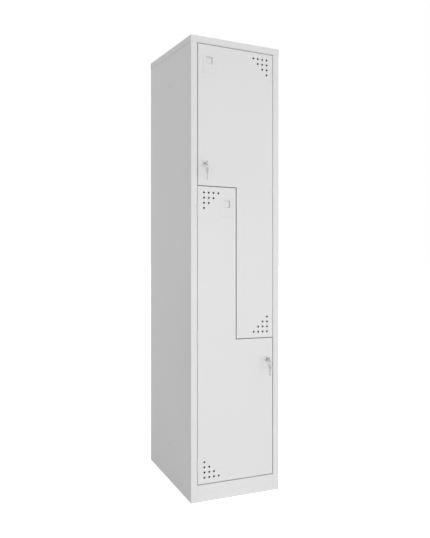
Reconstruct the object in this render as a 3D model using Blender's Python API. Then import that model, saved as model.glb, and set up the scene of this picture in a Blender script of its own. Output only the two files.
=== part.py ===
# Z locker: one folded sheet-steel cabinet with two interlocking L-shaped doors.
# Lengths are in metres, +Z is up and the doors face -Y.
# The upper door hangs on the right and the lower door on the left, each on three knuckle hinges.
import math

import bmesh
import bpy
from mathutils import Matrix, Vector

# Cabinet
CABINET_HEIGHT = 1.800
CABINET_WIDTH = 0.385
CABINET_DEPTH = 0.505
CARCASS_SHEET = 0.0009
SEAT_GAP = 0.0003
FOLD_RADIUS = 0.0004
CUT_OVERRUN = 0.002
CAP_SKIRT = 0.0245
RAIL_REVEAL = 0.0025
STILE_WIDTH = 0.0253
STOP_LIP = 0.012
STOP_FLANGE = 0.018
REAR_FLANGE = 0.018
PLINTH_HEIGHT = 0.065
JOINING_HOLE_RADIUS = 0.0035
JOINING_HOLE_END = 0.149

# Z partition and floor
UPPER_SPLIT = 1.222
LOWER_SPLIT = 0.623
NOSE_WIDTH = 0.020
NOSE_RETURN = 0.010
DIVIDER_FLANGE = 0.015

# Doors
DOOR_SHEET = 0.0010
FREE_GAP = 0.003
TOP_GAP = 0.0024
FOOT_GAP = 0.0032
SPLIT_GAP = 0.004
STEP_GAP = 0.003
DOOR_EDGE = 0.016
DOOR_LIP = 0.010
VENT_RADIUS = 0.004
VENT_PITCH = 0.020
VENT_LEG_INSET = 0.0255
VENT_WIDE_INSET = 0.0274
VENT_END_INSET = 0.024
VENT_ROWS = 4
STIFFENER_SHEET = 0.0009
STIFFENER_FROM_LIP = 0.0144
STIFFENER_WEB = 0.024
STIFFENER_FLANGE = 0.008
STIFFENER_DEPTH = 0.011
STIFFENER_START = 0.135

# Card holders
CARD_PLATEAU_WIDTH = 0.054
CARD_PLATEAU_HEIGHT = 0.0765
CARD_RISE = 0.0022
CARD_FLANK = 0.0055
CARD_WINDOW_WIDTH = 0.029
CARD_WINDOW_HEIGHT = 0.0275
CARD_WINDOW_SIDE = 0.0143
CARD_WINDOW_DROP = 0.010
CARD_THICKNESS = 0.0004
CARD_MARGIN = 0.0015
UPPER_CARD_SIDE = 0.0201
UPPER_CARD_DROP = 0.0354
LOWER_CARD_SIDE = 0.012
LOWER_CARD_DROP = 0.0402
POCKET_SHEET = 0.0008
POCKET_DEPTH = 0.0018
POCKET_MARGIN = 0.002

# Hinges
HINGE_LENGTH = 0.057
HINGE_KNUCKLES = 5
HINGE_PIN_RADIUS = 0.0011
HINGE_PIN_HEAD = 0.0008
PIN_CLEARANCE = 0.00025
LEAF_SHEET = 0.0008
LEAF_CLEARANCE = 0.0004
LEAF_DEPTH = 0.013
HINGE_FROM_LEG_END = 0.088
HINGE_FROM_STEP = 0.017
HINGE_FROM_WIDE_END = 0.0775

# Door buffers
BUFFER_RADIUS = 0.0036
BUFFER_HEIGHT = 0.0039
BUFFER_FROM_CORNER = 0.045

# Cam locks
LOCK_SIDE_INSET = 0.027
LOCK_FROM_STEP = 0.0844
LOCK_FLANGE_RADIUS = 0.0105
LOCK_FLANGE_HEIGHT = 0.0045
LOCK_FLANGE_CHAMFER = 0.0018
LOCK_BODY_RADIUS = 0.0085
LOCK_NUT_HEIGHT = 0.004
LOCK_NUT_RADIUS = 0.0125
BARREL_RADIUS = 0.0056
BARREL_TAIL = 0.0066
CAM_THICKNESS = 0.002
CAM_CLEARANCE = 0.001
CAM_HUB_RADIUS = 0.008
CAM_TIP_WIDTH = 0.012
CAM_REACH = 0.036
SCREW_HEAD_RADIUS = 0.0038
SCREW_HEAD_HEIGHT = 0.0024
SCREW_RADIUS = 0.0017
SCREW_CROWN_SHARE = 2 / 3
SCREW_DEPTH = 0.003
KEYWAY_END_WALL = 0.0045

# Keys
KEY_THICKNESS = 0.0018
KEY_BOW_RADIUS = 0.011
KEY_HOLE_RADIUS = 0.003
KEY_HOLE_RIM = 0.0026
KEY_NECK_LENGTH = 0.009
KEY_NECK_WIDTH = 0.0090
KEY_BLADE_WIDTH = 0.0066
KEY_TIP_LENGTH = 0.003
KEY_CUT_DEPTH = 0.0011
KEY_CUTS = 5
KEY_CLEARANCE = 0.0003
KEY_TIP_SHARE = 1 / 3
SHALLOW_CUT_SHARE = 2 / 3
KEY_CUT_SHARES = ((1 / 3, 0), (1 / 8, 1), (-1 / 8, 1), (-1 / 3, 0))
RING_RADIUS = 0.0085
RING_WIRE_RADIUS = 0.0007

# Coat hooks
HOOK_STRIP = 0.0025
HOOK_WIDTH = 0.018
HOOK_PLATE = 0.030
HOOK_DROP = 0.038
HOOK_THROAT = 0.016
HOOK_TIP = 0.016
HOOK_BEND = 0.005

# Facets of round shapes
BEND_STEPS = 2
VENT_SIDES = 12
ROUND_SIDES = 24
CURL_SWEEP = math.radians(300)
CURL_STEPS = 10

# Colours as linear red, green, blue, with roughness and metallic
FINISHES = {
    "paint": ((0.74, 0.745, 0.75), 0.45, 0.0),
    "zinc": ((0.62, 0.63, 0.64), 0.35, 1.0),
    "chrome": ((0.70, 0.70, 0.71), 0.18, 1.0),
    "nickel": ((0.60, 0.59, 0.56), 0.28, 1.0),
    "rubber": ((0.045, 0.045, 0.045), 0.8, 0.0),
    "card": ((0.78, 0.78, 0.76), 0.85, 0.0),
}

# Lock stack, measured from the door's face towards the rear
STOP_SETBACK = DOOR_EDGE + BUFFER_HEIGHT + 2 * SEAT_GAP
CAM_FRONT = STOP_SETBACK + CARCASS_SHEET + CAM_CLEARANCE
CAM_REAR = CAM_FRONT + CAM_THICKNESS
BARREL_END = CAM_FRONT - SEAT_GAP
KEYWAY_END = BARREL_END - SCREW_DEPTH - KEYWAY_END_WALL

# Key, measured from the shoulder that stops at the barrel's face
KEY_BLADE_LENGTH = LOCK_FLANGE_HEIGHT + KEYWAY_END - 2 * KEY_CLEARANCE
KEY_BOW_CENTRE = -KEY_NECK_LENGTH - math.sqrt(KEY_BOW_RADIUS ** 2 - (KEY_NECK_WIDTH / 2) ** 2)
KEY_HOLE_CENTRE = KEY_BOW_CENTRE - KEY_BOW_RADIUS + KEY_HOLE_RIM + KEY_HOLE_RADIUS
SHOULDER_SETBACK = -LOCK_FLANGE_HEIGHT - KEY_CLEARANCE
HOLE_SETBACK = SHOULDER_SETBACK + KEY_HOLE_CENTRE
WIRE_DROP = KEY_HOLE_RADIUS - RING_WIRE_RADIUS - SEAT_GAP

# The part's box runs from the hanging key's bow to the cap's rear skirt, and y = 0 is its middle
CAP_PROUD = CARCASS_SHEET + SEAT_GAP
KEY_REACH = KEY_BOW_RADIUS - HOLE_SETBACK - CAP_PROUD
CABINET_FRONT = (KEY_REACH - CABINET_DEPTH) / 2
CABINET_REAR = CABINET_FRONT + CABINET_DEPTH
CABINET_MIDDLE = (CABINET_FRONT + CABINET_REAR) / 2

# Carcass planes
FACE_Y = CABINET_FRONT + CAP_PROUD
STOP_Y = FACE_Y + STOP_SETBACK
PARTITION_FRONT = STOP_Y + CAP_PROUD
PANEL_REAR = CABINET_REAR - CAP_PROUD
FLANGE_REAR = PANEL_REAR - CAP_PROUD
INNER_REAR = FLANGE_REAR - CAP_PROUD
CARCASS_HALF = CABINET_WIDTH / 2 - CAP_PROUD
INNER_HALF = CARCASS_HALF - CAP_PROUD
CARCASS_TOP = CABINET_HEIGHT - CAP_PROUD
OPENING_HALF = CARCASS_HALF - STILE_WIDTH
OPENING_TOP = CABINET_HEIGHT - CAP_SKIRT - RAIL_REVEAL

# Door planes, where both leaves of a hinge fill the gap beside a hinged edge
HINGE_GAP = 2 * (LEAF_SHEET + SEAT_GAP) + LEAF_CLEARANCE
HINGED_EDGE = OPENING_HALF - HINGE_GAP
FREE_EDGE = OPENING_HALF - FREE_GAP
DOOR_BACK_Y = FACE_Y + DOOR_SHEET
HALF_SPLIT = SPLIT_GAP / 2
HALF_STEP = STEP_GAP / 2

# Hinge section, about its pin
LEAF_OFFSET = (LEAF_CLEARANCE + LEAF_SHEET) / 2
CURL_RADIUS = HINGE_PIN_RADIUS + PIN_CLEARANCE + LEAF_SHEET / 2
KNUCKLE_RADIUS = CURL_RADIUS + LEAF_SHEET / 2
HINGE_X = OPENING_HALF - HINGE_GAP / 2
HINGE_Y = FACE_Y - KNUCKLE_RADIUS - SEAT_GAP


class Door:
    # One door's side, its outline's levels, and what differs between the two.
    def __init__(self, name, side, leg_end, step, wide_end, card_side, card_drop):
        self.name = name
        self.side = side
        self.leg_end = leg_end
        self.step = step
        self.wide_end = wide_end
        self.card_side = card_side
        self.card_drop = card_drop

    def x(self, inset):
        # Across the door from its hinged edge.
        return self.side * (HINGED_EDGE - inset)

    def z(self, rise):
        # Along the door from the end of its leg.
        return self.leg_end + self.side * rise

    def length(self):
        return abs(self.wide_end - self.leg_end)

    def outline(self):
        hinged, free = self.side * HINGED_EDGE, -self.side * FREE_EDGE
        leg_edge = self.side * HALF_SPLIT
        return [
            (hinged, self.leg_end),
            (hinged, self.wide_end),
            (free, self.wide_end),
            (free, self.step),
            (leg_edge, self.step),
            (leg_edge, self.leg_end),
        ]

    def lock_place(self):
        x = -self.side * (FREE_EDGE - LOCK_SIDE_INSET)
        return Vector((x, FACE_Y, self.step + self.side * LOCK_FROM_STEP))

    def hinge_levels(self):
        rises = {
            "leg": HINGE_FROM_LEG_END,
            "middle": abs(self.step - self.leg_end) - HINGE_FROM_STEP,
            "wide": self.length() - HINGE_FROM_WIDE_END,
        }
        return {place: self.z(rise) for place, rise in rises.items()}

    def card_centre(self):
        # Each plateau hangs below its door's top edge, beside the free edge.
        if self.side > 0:
            left = -FREE_EDGE + self.card_side
            top = self.wide_end - self.card_drop
            return left + CARD_PLATEAU_WIDTH / 2, top - CARD_PLATEAU_HEIGHT / 2
        right = -HALF_SPLIT - self.card_side
        top = self.leg_end - self.card_drop
        return right - CARD_PLATEAU_WIDTH / 2, top - CARD_PLATEAU_HEIGHT / 2


def remove_old_objects():
    for item in list(bpy.data.objects):
        bpy.data.objects.remove(item, do_unlink=True)


def finish(name, kind):
    colour, roughness, metallic = FINISHES[kind]
    material = bpy.data.materials.new(name + "_" + kind)
    material.use_nodes = True
    shader = material.node_tree.nodes["Principled BSDF"]
    shader.inputs["Base Color"].default_value = (*colour, 1)
    shader.inputs["Roughness"].default_value = roughness
    shader.inputs["Metallic"].default_value = metallic
    return material


def add_object(name, mesh, kind, place=(0, 0, 0), turn=(0, 0, 0), axis=None):
    # The place and the turn are in world space, also where the object follows an axis.
    item = bpy.data.objects.new(name, mesh)
    bpy.context.scene.collection.objects.link(item)
    item.location = place
    item.rotation_euler = turn
    mesh.materials.append(finish(name, kind))
    if axis:
        item.parent = axis
        item.matrix_parent_inverse = Matrix.Translation(-axis.location)
    return item


def add_axis(name, place, parent=None):
    # An empty on a joint's axis carries everything that turns or slides with it.
    axis = bpy.data.objects.new(name, None)
    bpy.context.scene.collection.objects.link(axis)
    axis.location = place
    if parent:
        axis.parent = parent
        axis.matrix_parent_inverse = Matrix.Translation(-parent.location)
    return axis


def mesh_from(name, body, smooth=False):
    bmesh.ops.recalc_face_normals(body, faces=body.faces)
    mesh = bpy.data.meshes.new(name)
    body.to_mesh(mesh)
    body.free()
    if smooth:
        mesh.shade_smooth()
        mesh.set_sharp_from_angle(angle=math.radians(35))
    return mesh


def loft(body, rings, closed=False):
    # Joins rings of equal count; open lofts get a face over each end.
    loops = [[body.verts.new(point) for point in ring] for ring in rings]
    count = len(loops[0])
    pairs = list(zip(loops, loops[1:]))
    if closed:
        pairs.append((loops[-1], loops[0]))
    for lower, upper in pairs:
        for i in range(count):
            j = (i + 1) % count
            body.faces.new((lower[i], lower[j], upper[j], upper[i]))
    if not closed:
        body.faces.new(loops[0])
        body.faces.new(loops[-1])


def on_plane(axis, point, along):
    # An outline point in the plane square to an axis, at a place along that axis.
    if axis == "X":
        return (along, point[0], point[1])
    if axis == "Y":
        return (point[0], along, point[1])
    return (point[0], point[1], along)


def prism(name, outline, axis, start, end, smooth=False):
    body = bmesh.new()
    loft(body, [[on_plane(axis, point, along) for point in outline] for along in (start, end)])
    return mesh_from(name, body, smooth)


def block(name, low, high):
    outline = [(low[0], low[1]), (high[0], low[1]), (high[0], high[1]), (low[0], high[1])]
    return prism(name, outline, "Z", low[2], high[2])


def circle(radius, sides, centre=(0, 0), start=0):
    return [
        (
            centre[0] + radius * math.cos(start + math.tau * i / sides),
            centre[1] + radius * math.sin(start + math.tau * i / sides),
        )
        for i in range(sides)
    ]


def turned(name, profile, axis, sides=ROUND_SIDES, closed=False):
    # Revolves (radius, along) pairs. A closed profile leaves a bore through the piece.
    body = bmesh.new()
    rings = [[on_plane(axis, point, along) for point in circle(radius, sides)] for radius, along in profile]
    loft(body, rings, closed)
    return mesh_from(name, body, True)


def joined(meshes):
    # One cutter mesh from several separate closed shells.
    body = bmesh.new()
    for mesh in meshes:
        body.from_mesh(mesh)
    return mesh_from(meshes[0].name + "_set", body)


def shape_with(item, mesh, operation, place=(0, 0, 0)):
    tool = bpy.data.objects.new(item.name + "_" + mesh.name, mesh)
    bpy.context.scene.collection.objects.link(tool)
    tool.hide_render = True
    tool.display_type = "WIRE"
    tool.parent = item
    tool.location = place
    change = item.modifiers.new(mesh.name, "BOOLEAN")
    change.object = tool
    change.operation = operation
    change.solver = "EXACT"


def cut(item, mesh, place=(0, 0, 0)):
    shape_with(item, mesh, "DIFFERENCE", place)


def add_to(item, mesh, place=(0, 0, 0)):
    shape_with(item, mesh, "UNION", place)


def rounded(points, radius, steps):
    # Replaces each inner corner of a path by an arc of the given radius.
    path = [Vector(points[0])]
    for before, corner, after in zip(points, points[1:], points[2:]):
        corner = Vector(corner)
        back = (Vector(before) - corner).normalized()
        ahead = (Vector(after) - corner).normalized()
        half = back.angle(ahead) / 2
        reach = radius / math.tan(half)
        centre = corner + (back + ahead).normalized() * (radius / math.sin(half))
        first = corner + back * reach - centre
        last = corner + ahead * reach - centre
        sweep = first.angle_signed(last)
        for step in range(steps + 1):
            path.append(centre + Matrix.Rotation(-sweep * step / steps, 2) @ first)
    path.append(Vector(points[-1]))
    return path


def strip(path, thickness):
    # Outline of a sheet of even thickness whose middle follows the path.
    path = [Vector(point) for point in path]
    left, right = [], []
    for i, point in enumerate(path):
        back = (point - path[i - 1]).normalized() if i else None
        ahead = (path[i + 1] - point).normalized() if i + 1 < len(path) else None
        direction = ((back or ahead) + (ahead or back)).normalized()
        normal = Vector((-direction.y, direction.x))
        square = Vector((-(back or ahead).y, (back or ahead).x))
        offset = normal * (thickness / 2 / normal.dot(square))
        left.append(point + offset)
        right.append(point - offset)
    return left + right[::-1]


def folded(name, points, thickness, axis, start, end, inside=FOLD_RADIUS):
    # A strip of sheet with rounded folds, drawn by its middle line and pulled along an axis.
    outline = strip(rounded(points, inside + thickness / 2, BEND_STEPS), thickness)
    return prism(name, outline, axis, start, end)


def inset_outline(corners, inset):
    # Moves every edge of an anticlockwise or clockwise outline inwards and mitres the corners.
    points = [Vector(corner) for corner in corners]
    area = sum(a.x * b.y - b.x * a.y for a, b in zip(points, points[1:] + points[:1]))
    turn = 1 if area > 0 else -1
    moved = []
    for i, point in enumerate(points):
        back = (point - points[i - 1]).normalized()
        ahead = (points[(i + 1) % len(points)] - point).normalized()
        first = Vector((-back.y, back.x)) * turn
        second = Vector((-ahead.y, ahead.x)) * turn
        moved.append(point + (first + second) * (inset / (1 + first.dot(second))))
    return moved


def pan(name, corners, sheet, depth, lip, axis, face, direction):
    # A flat face with folded edges and, past zero, an inner lip. It opens along direction from its face.
    middle = sheet / 2
    flat = FOLD_RADIUS + sheet
    section = [(middle + flat, middle), (middle, middle), (middle, depth if lip == 0 else depth - middle)]
    if lip > 0:
        section.append((lip, depth - middle))
    profile = strip(rounded(section, FOLD_RADIUS + middle, BEND_STEPS), sheet)
    body = bmesh.new()
    loft(body, [
        [on_plane(axis, point, face + direction * down) for point in inset_outline(corners, inset)]
        for inset, down in profile
    ])
    return mesh_from(name, body)


def rectangle(low, high):
    return [(low[0], low[1]), (high[0], low[1]), (high[0], high[1]), (low[0], high[1])]


def add_side_panel(name, side):
    # Rear flange, side wall and the stile's face, folded from one sheet.
    middle = CARCASS_SHEET / 2
    outer = side * (CARCASS_HALF - middle)
    path = [
        (side * (CARCASS_HALF - REAR_FLANGE), FLANGE_REAR - middle),
        (outer, FLANGE_REAR - middle),
        (outer, FACE_Y + middle),
        (side * OPENING_HALF, FACE_Y + middle),
    ]
    panel = add_object(name, folded(name, path, CARCASS_SHEET, "Z", 0, CARCASS_TOP), "paint")
    reach = (side * (CARCASS_HALF + CUT_OVERRUN), side * (INNER_HALF - CUT_OVERRUN))
    holes = [
        prism("joining_hole", circle(JOINING_HOLE_RADIUS, VENT_SIDES, (CABINET_MIDDLE, level)), "X", *reach)
        for level in (JOINING_HOLE_END, CABINET_HEIGHT - JOINING_HOLE_END)
    ]
    cut(panel, joined(holes))


def add_door_stop(name, side):
    # A strip welded behind the stile: weld flange, return along the opening's edge, and stop lip.
    middle = CARCASS_SHEET / 2
    seat = FACE_Y + CARCASS_SHEET + SEAT_GAP + middle
    opening = side * (OPENING_HALF + middle)
    path = [
        (side * (OPENING_HALF + STOP_FLANGE), seat),
        (opening, seat),
        (opening, STOP_Y + middle),
        (side * (OPENING_HALF - STOP_LIP), STOP_Y + middle),
    ]
    add_object(name, folded(name, path, CARCASS_SHEET, "Z", 0, CARCASS_TOP), "paint")


def add_back_panel():
    low = (-CARCASS_HALF, PANEL_REAR - CARCASS_SHEET, 0)
    high = (CARCASS_HALF, PANEL_REAR, CARCASS_TOP)
    add_object("back_panel", block("back_panel", low, high), "paint")


def add_top_cap():
    half = CABINET_WIDTH / 2
    corners = rectangle((-half, CABINET_FRONT), (half, CABINET_REAR))
    mesh = pan("top_cap", corners, CARCASS_SHEET, CAP_SKIRT, 0, "Z", CABINET_HEIGHT, -1)
    add_object("top_cap", mesh, "paint")


def add_cross_rail(name, far, edge, direction):
    # Outer flange, web, a return to the stop plane and a stop lip, notched round the stiles' lips.
    middle = CARCASS_SHEET / 2
    half = OPENING_HALF - SEAT_GAP
    path = [
        (STOP_Y - SEAT_GAP, far + direction * middle),
        (FACE_Y + middle, far + direction * middle),
        (FACE_Y + middle, edge - direction * middle),
        (STOP_Y + middle, edge - direction * middle),
        (STOP_Y + middle, edge + direction * STOP_LIP),
    ]
    rail = add_object(name, folded(name, path, CARCASS_SHEET, "X", -half, half), "paint")
    inner = OPENING_HALF - STOP_LIP - SEAT_GAP
    levels = sorted((edge - direction * CUT_OVERRUN, edge + direction * (STOP_LIP + CUT_OVERRUN)))
    for side in (-1, 1):
        across = sorted((side * inner, side * (half + CUT_OVERRUN)))
        low = (across[0], STOP_Y - SEAT_GAP, levels[0])
        high = (across[1], STOP_Y + CARCASS_SHEET + CUT_OVERRUN, levels[1])
        cut(rail, block("left_notch" if side < 0 else "right_notch", low, high))


def add_floor_panel():
    corners = rectangle((-INNER_HALF, PARTITION_FRONT), (INNER_HALF, INNER_REAR))
    mesh = pan("floor_panel", corners, CARCASS_SHEET, NOSE_WIDTH, NOSE_RETURN, "Z", PLINTH_HEIGHT, -1)
    add_object("floor_panel", mesh, "paint")


def add_partition():
    # The Z: a shelf on the left, the divider between the legs and a shelf on the right.
    half_nose = NOSE_WIDTH / 2
    spans = {
        "upper_shelf": (-INNER_HALF, half_nose, UPPER_SPLIT),
        "lower_shelf": (-half_nose, INNER_HALF, LOWER_SPLIT),
    }
    for name, (left, right, level) in spans.items():
        corners = rectangle((left, PARTITION_FRONT), (right, INNER_REAR))
        mesh = pan(name, corners, CARCASS_SHEET, NOSE_WIDTH, NOSE_RETURN, "Z", level + half_nose, -1)
        add_object(name, mesh, "paint")

    middle = CARCASS_SHEET / 2
    path = [
        (DIVIDER_FLANGE, INNER_REAR - middle),
        (0, INNER_REAR - middle),
        (0, PARTITION_FRONT + NOSE_RETURN),
        (-half_nose + middle, PARTITION_FRONT + NOSE_RETURN),
        (-half_nose + middle, PARTITION_FRONT + middle),
        (half_nose - middle, PARTITION_FRONT + middle),
        (half_nose - middle, PARTITION_FRONT + NOSE_RETURN),
    ]
    bottom = LOWER_SPLIT + half_nose + SEAT_GAP
    top = UPPER_SPLIT - half_nose - SEAT_GAP
    add_object("centre_divider", folded("centre_divider", path, CARCASS_SHEET, "Z", bottom, top), "paint")


def vent_holes(door):
    # A right-angled triangle of holes at each end of the hinged edge.
    holes = []
    span = (FACE_Y - CUT_OVERRUN, DOOR_BACK_Y + CUT_OVERRUN)
    ends = ((door.leg_end, door.side, VENT_LEG_INSET), (door.wide_end, -door.side, VENT_WIDE_INSET))
    for end, inward, inset in ends:
        for row in range(VENT_ROWS):
            for column in range(VENT_ROWS - row):
                x = door.x(inset + column * VENT_PITCH)
                z = end + inward * (VENT_END_INSET + row * VENT_PITCH)
                holes.append(prism("vents", circle(VENT_RADIUS, VENT_SIDES, (x, z)), "Y", *span))
    return joined(holes)


def plateau(name, centre, start, end, shift):
    # A block with sloping flanks whose edge lies on the door's face, moved back by shift.
    rings = []
    for y in (start, end):
        inset = CARD_FLANK / CARD_RISE * (FACE_Y + shift - y)
        half_width = CARD_PLATEAU_WIDTH / 2 - inset
        half_height = CARD_PLATEAU_HEIGHT / 2 - inset
        low = (centre[0] - half_width, centre[1] - half_height)
        high = (centre[0] + half_width, centre[1] + half_height)
        rings.append([on_plane("Y", point, y) for point in rectangle(low, high)])
    body = bmesh.new()
    loft(body, rings)
    return mesh_from(name, body)


def add_door_panel(door, axis):
    name = door.name + "_panel"
    mesh = pan(name, door.outline(), DOOR_SHEET, DOOR_EDGE, DOOR_LIP, "Y", FACE_Y, 1)
    panel = add_object(name, mesh, "paint", axis=axis)
    centre = door.card_centre()
    top = FACE_Y - CARD_RISE
    add_to(panel, plateau("plateau", centre, FACE_Y + DOOR_SHEET / 2, top, 0))
    cut(panel, plateau("hollow", centre, DOOR_BACK_Y + DOOR_SHEET, top + DOOR_SHEET, DOOR_SHEET))
    window_top = centre[1] + CARD_PLATEAU_HEIGHT / 2 - CARD_WINDOW_DROP
    window_left = centre[0] - CARD_PLATEAU_WIDTH / 2 + CARD_WINDOW_SIDE
    low = (window_left, top - CUT_OVERRUN, window_top - CARD_WINDOW_HEIGHT)
    high = (window_left + CARD_WINDOW_WIDTH, DOOR_BACK_Y + CUT_OVERRUN, window_top)
    cut(panel, block("window", low, high))
    cut(panel, vent_holes(door))
    lock = door.lock_place()
    span = (FACE_Y - CUT_OVERRUN, DOOR_BACK_Y + CUT_OVERRUN)
    hole = circle(LOCK_BODY_RADIUS + SEAT_GAP, ROUND_SIDES, (lock.x, lock.z))
    cut(panel, prism("lock_hole", hole, "Y", *span))


def add_card(door, axis):
    # An open-topped pocket behind the window, and the card that stands in it.
    centre = door.card_centre()
    half_width = CARD_PLATEAU_WIDTH / 2 + POCKET_MARGIN
    half_height = CARD_PLATEAU_HEIGHT / 2 + POCKET_MARGIN
    low = (centre[0] - half_width, centre[1] - half_height)
    high = (centre[0] + half_width, centre[1] + half_height)
    front = DOOR_BACK_Y + SEAT_GAP
    plate = front + POCKET_DEPTH
    name = door.name + "_card_pocket"
    pocket = add_object(name, pan(name, rectangle(low, high), POCKET_SHEET, POCKET_DEPTH, 0, "Y", plate, -1),
                        "paint", axis=axis)
    mouth_low = (low[0] - CUT_OVERRUN, front - CUT_OVERRUN, high[1] - FOLD_RADIUS - 2 * POCKET_SHEET)
    mouth_high = (high[0] + CUT_OVERRUN, plate + CUT_OVERRUN, high[1] + CUT_OVERRUN)
    cut(pocket, block("mouth", mouth_low, mouth_high))

    inset = POCKET_SHEET + CARD_MARGIN
    rear = plate - POCKET_SHEET - SEAT_GAP
    card_low = (low[0] + inset, rear - CARD_THICKNESS, low[1] + POCKET_SHEET + FOLD_RADIUS + SEAT_GAP)
    card_high = (high[0] - inset, rear, mouth_low[2])
    name = door.name + "_card"
    add_object(name, block(name, card_low, card_high), "card", axis=axis)


def add_stiffener(door, axis):
    # A hat channel along the hinged side, seated on the back of the door's face.
    middle = STIFFENER_SHEET / 2
    seat = DOOR_BACK_Y + SEAT_GAP + middle
    crown = DOOR_BACK_Y + SEAT_GAP + STIFFENER_DEPTH - middle
    insets = [0, STIFFENER_FLANGE, STIFFENER_FLANGE + STIFFENER_WEB, 2 * STIFFENER_FLANGE + STIFFENER_WEB]
    leg_width = HINGED_EDGE - HALF_SPLIT
    xs = [door.x(leg_width - DOOR_LIP - STIFFENER_FROM_LIP - inset) for inset in insets]
    path = [(xs[0], seat), (xs[1], seat), (xs[1], crown), (xs[2], crown), (xs[2], seat), (xs[3], seat)]
    end = door.length() - DOOR_LIP - SEAT_GAP
    name = door.name + "_stiffener"
    mesh = folded(name, path, STIFFENER_SHEET, "Z", door.z(STIFFENER_START), door.z(end))
    add_object(name, mesh, "paint", axis=axis)


def leaf_mesh(name, side, segments):
    # One leaf about its pin: a flat strip whose front edge curls round the pin.
    # It is cut away beside the other leaf's knuckles.
    start = math.acos(LEAF_OFFSET / CURL_RADIUS)
    path = [Vector((LEAF_OFFSET, FACE_Y + LEAF_DEPTH - HINGE_Y))]
    for step in range(CURL_STEPS + 1):
        angle = start - CURL_SWEEP * step / CURL_STEPS
        path.append(Vector((math.cos(angle), math.sin(angle))) * CURL_RADIUS)
    outline = [(side * point.x, point.y) for point in strip(path, LEAF_SHEET)]
    mesh = prism(name, outline, "Z", -HINGE_LENGTH / 2, HINGE_LENGTH / 2)
    pitch = HINGE_LENGTH / HINGE_KNUCKLES
    half = KNUCKLE_RADIUS + CUT_OVERRUN
    tools = []
    for segment in range(HINGE_KNUCKLES):
        if segment in segments:
            continue
        low = -HINGE_LENGTH / 2 + segment * pitch
        high = low + pitch
        widen = SEAT_GAP / 2
        low -= widen if segment else CUT_OVERRUN
        high += widen if segment + 1 < HINGE_KNUCKLES else CUT_OVERRUN
        tools.append(block(name + "_space", (-half, -half, low), (half, KNUCKLE_RADIUS + SEAT_GAP, high)))
    return mesh, joined(tools)


def add_hinges(door, axis):
    # The pin's axis stands in front of the gap, and both leaves run back into it.
    head = KNUCKLE_RADIUS - PIN_CLEARANCE
    end = HINGE_LENGTH / 2 + SEAT_GAP
    pin_profile = [
        (head / 2, -end - HINGE_PIN_HEAD),
        (head, -end - HINGE_PIN_HEAD / 2),
        (head, -end),
        (HINGE_PIN_RADIUS, -end),
        (HINGE_PIN_RADIUS, end),
        (head, end),
        (head, end + HINGE_PIN_HEAD / 2),
        (head / 2, end + HINGE_PIN_HEAD),
    ]
    fixed = [segment for segment in range(HINGE_KNUCKLES) if segment % 2 == 0]
    moving = [segment for segment in range(HINGE_KNUCKLES) if segment % 2]
    for place, level in door.hinge_levels().items():
        name = door.name + "_hinge_" + place
        spot = (door.side * HINGE_X, HINGE_Y, level)
        mesh, space = leaf_mesh(name + "_frame_leaf", door.side, fixed)
        cut(add_object(name + "_frame_leaf", mesh, "paint", spot), space)
        mesh, space = leaf_mesh(name + "_door_leaf", -door.side, moving)
        cut(add_object(name + "_door_leaf", mesh, "paint", spot, axis=axis), space)
        add_object(name + "_pin", turned(name + "_pin", pin_profile, "Z", VENT_SIDES), "zinc", spot)


def add_buffers(door):
    # Rubber studs on the stop lip that meets the free edge of the door's wide end.
    x = -door.side * (OPENING_HALF - STOP_LIP + BUFFER_RADIUS + SEAT_GAP)
    rear = STOP_Y - SEAT_GAP
    front = rear - BUFFER_HEIGHT
    chamfer = BUFFER_HEIGHT / 4
    profile = [
        (BUFFER_RADIUS - chamfer, front),
        (BUFFER_RADIUS, front + chamfer),
        (BUFFER_RADIUS, rear),
    ]
    levels = {
        "wide": door.wide_end - door.side * BUFFER_FROM_CORNER,
        "step": door.step + door.side * BUFFER_FROM_CORNER,
    }
    for place, level in levels.items():
        name = door.name + "_buffer_" + place
        add_object(name, turned(name, profile, "Y", VENT_SIDES), "rubber", (x, 0, level))


def add_lock_housing(door, axis):
    lock = door.lock_place()
    flange_front = -LOCK_FLANGE_HEIGHT
    bore = BARREL_RADIUS + SEAT_GAP
    profile = [
        (bore, flange_front),
        (LOCK_FLANGE_RADIUS - LOCK_FLANGE_CHAMFER, flange_front),
        (LOCK_FLANGE_RADIUS, flange_front + LOCK_FLANGE_CHAMFER),
        (LOCK_FLANGE_RADIUS, -SEAT_GAP),
        (LOCK_BODY_RADIUS, -SEAT_GAP),
        (LOCK_BODY_RADIUS, BARREL_END - SEAT_GAP),
        (bore, BARREL_END - SEAT_GAP),
    ]
    name = door.name + "_lock_housing"
    add_object(name, turned(name, profile, "Y", closed=True), "chrome", lock, axis=axis)

    name = door.name + "_lock_nut"
    start = DOOR_SHEET + SEAT_GAP
    nut = prism(name, circle(LOCK_NUT_RADIUS, 6), "Y", start, start + LOCK_NUT_HEIGHT)
    hole = circle(LOCK_BODY_RADIUS + SEAT_GAP, ROUND_SIDES)
    bore_mesh = prism("thread", hole, "Y", start - CUT_OVERRUN, start + LOCK_NUT_HEIGHT + CUT_OVERRUN)
    cut(add_object(name, nut, "zinc", lock, axis=axis), bore_mesh)


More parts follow.
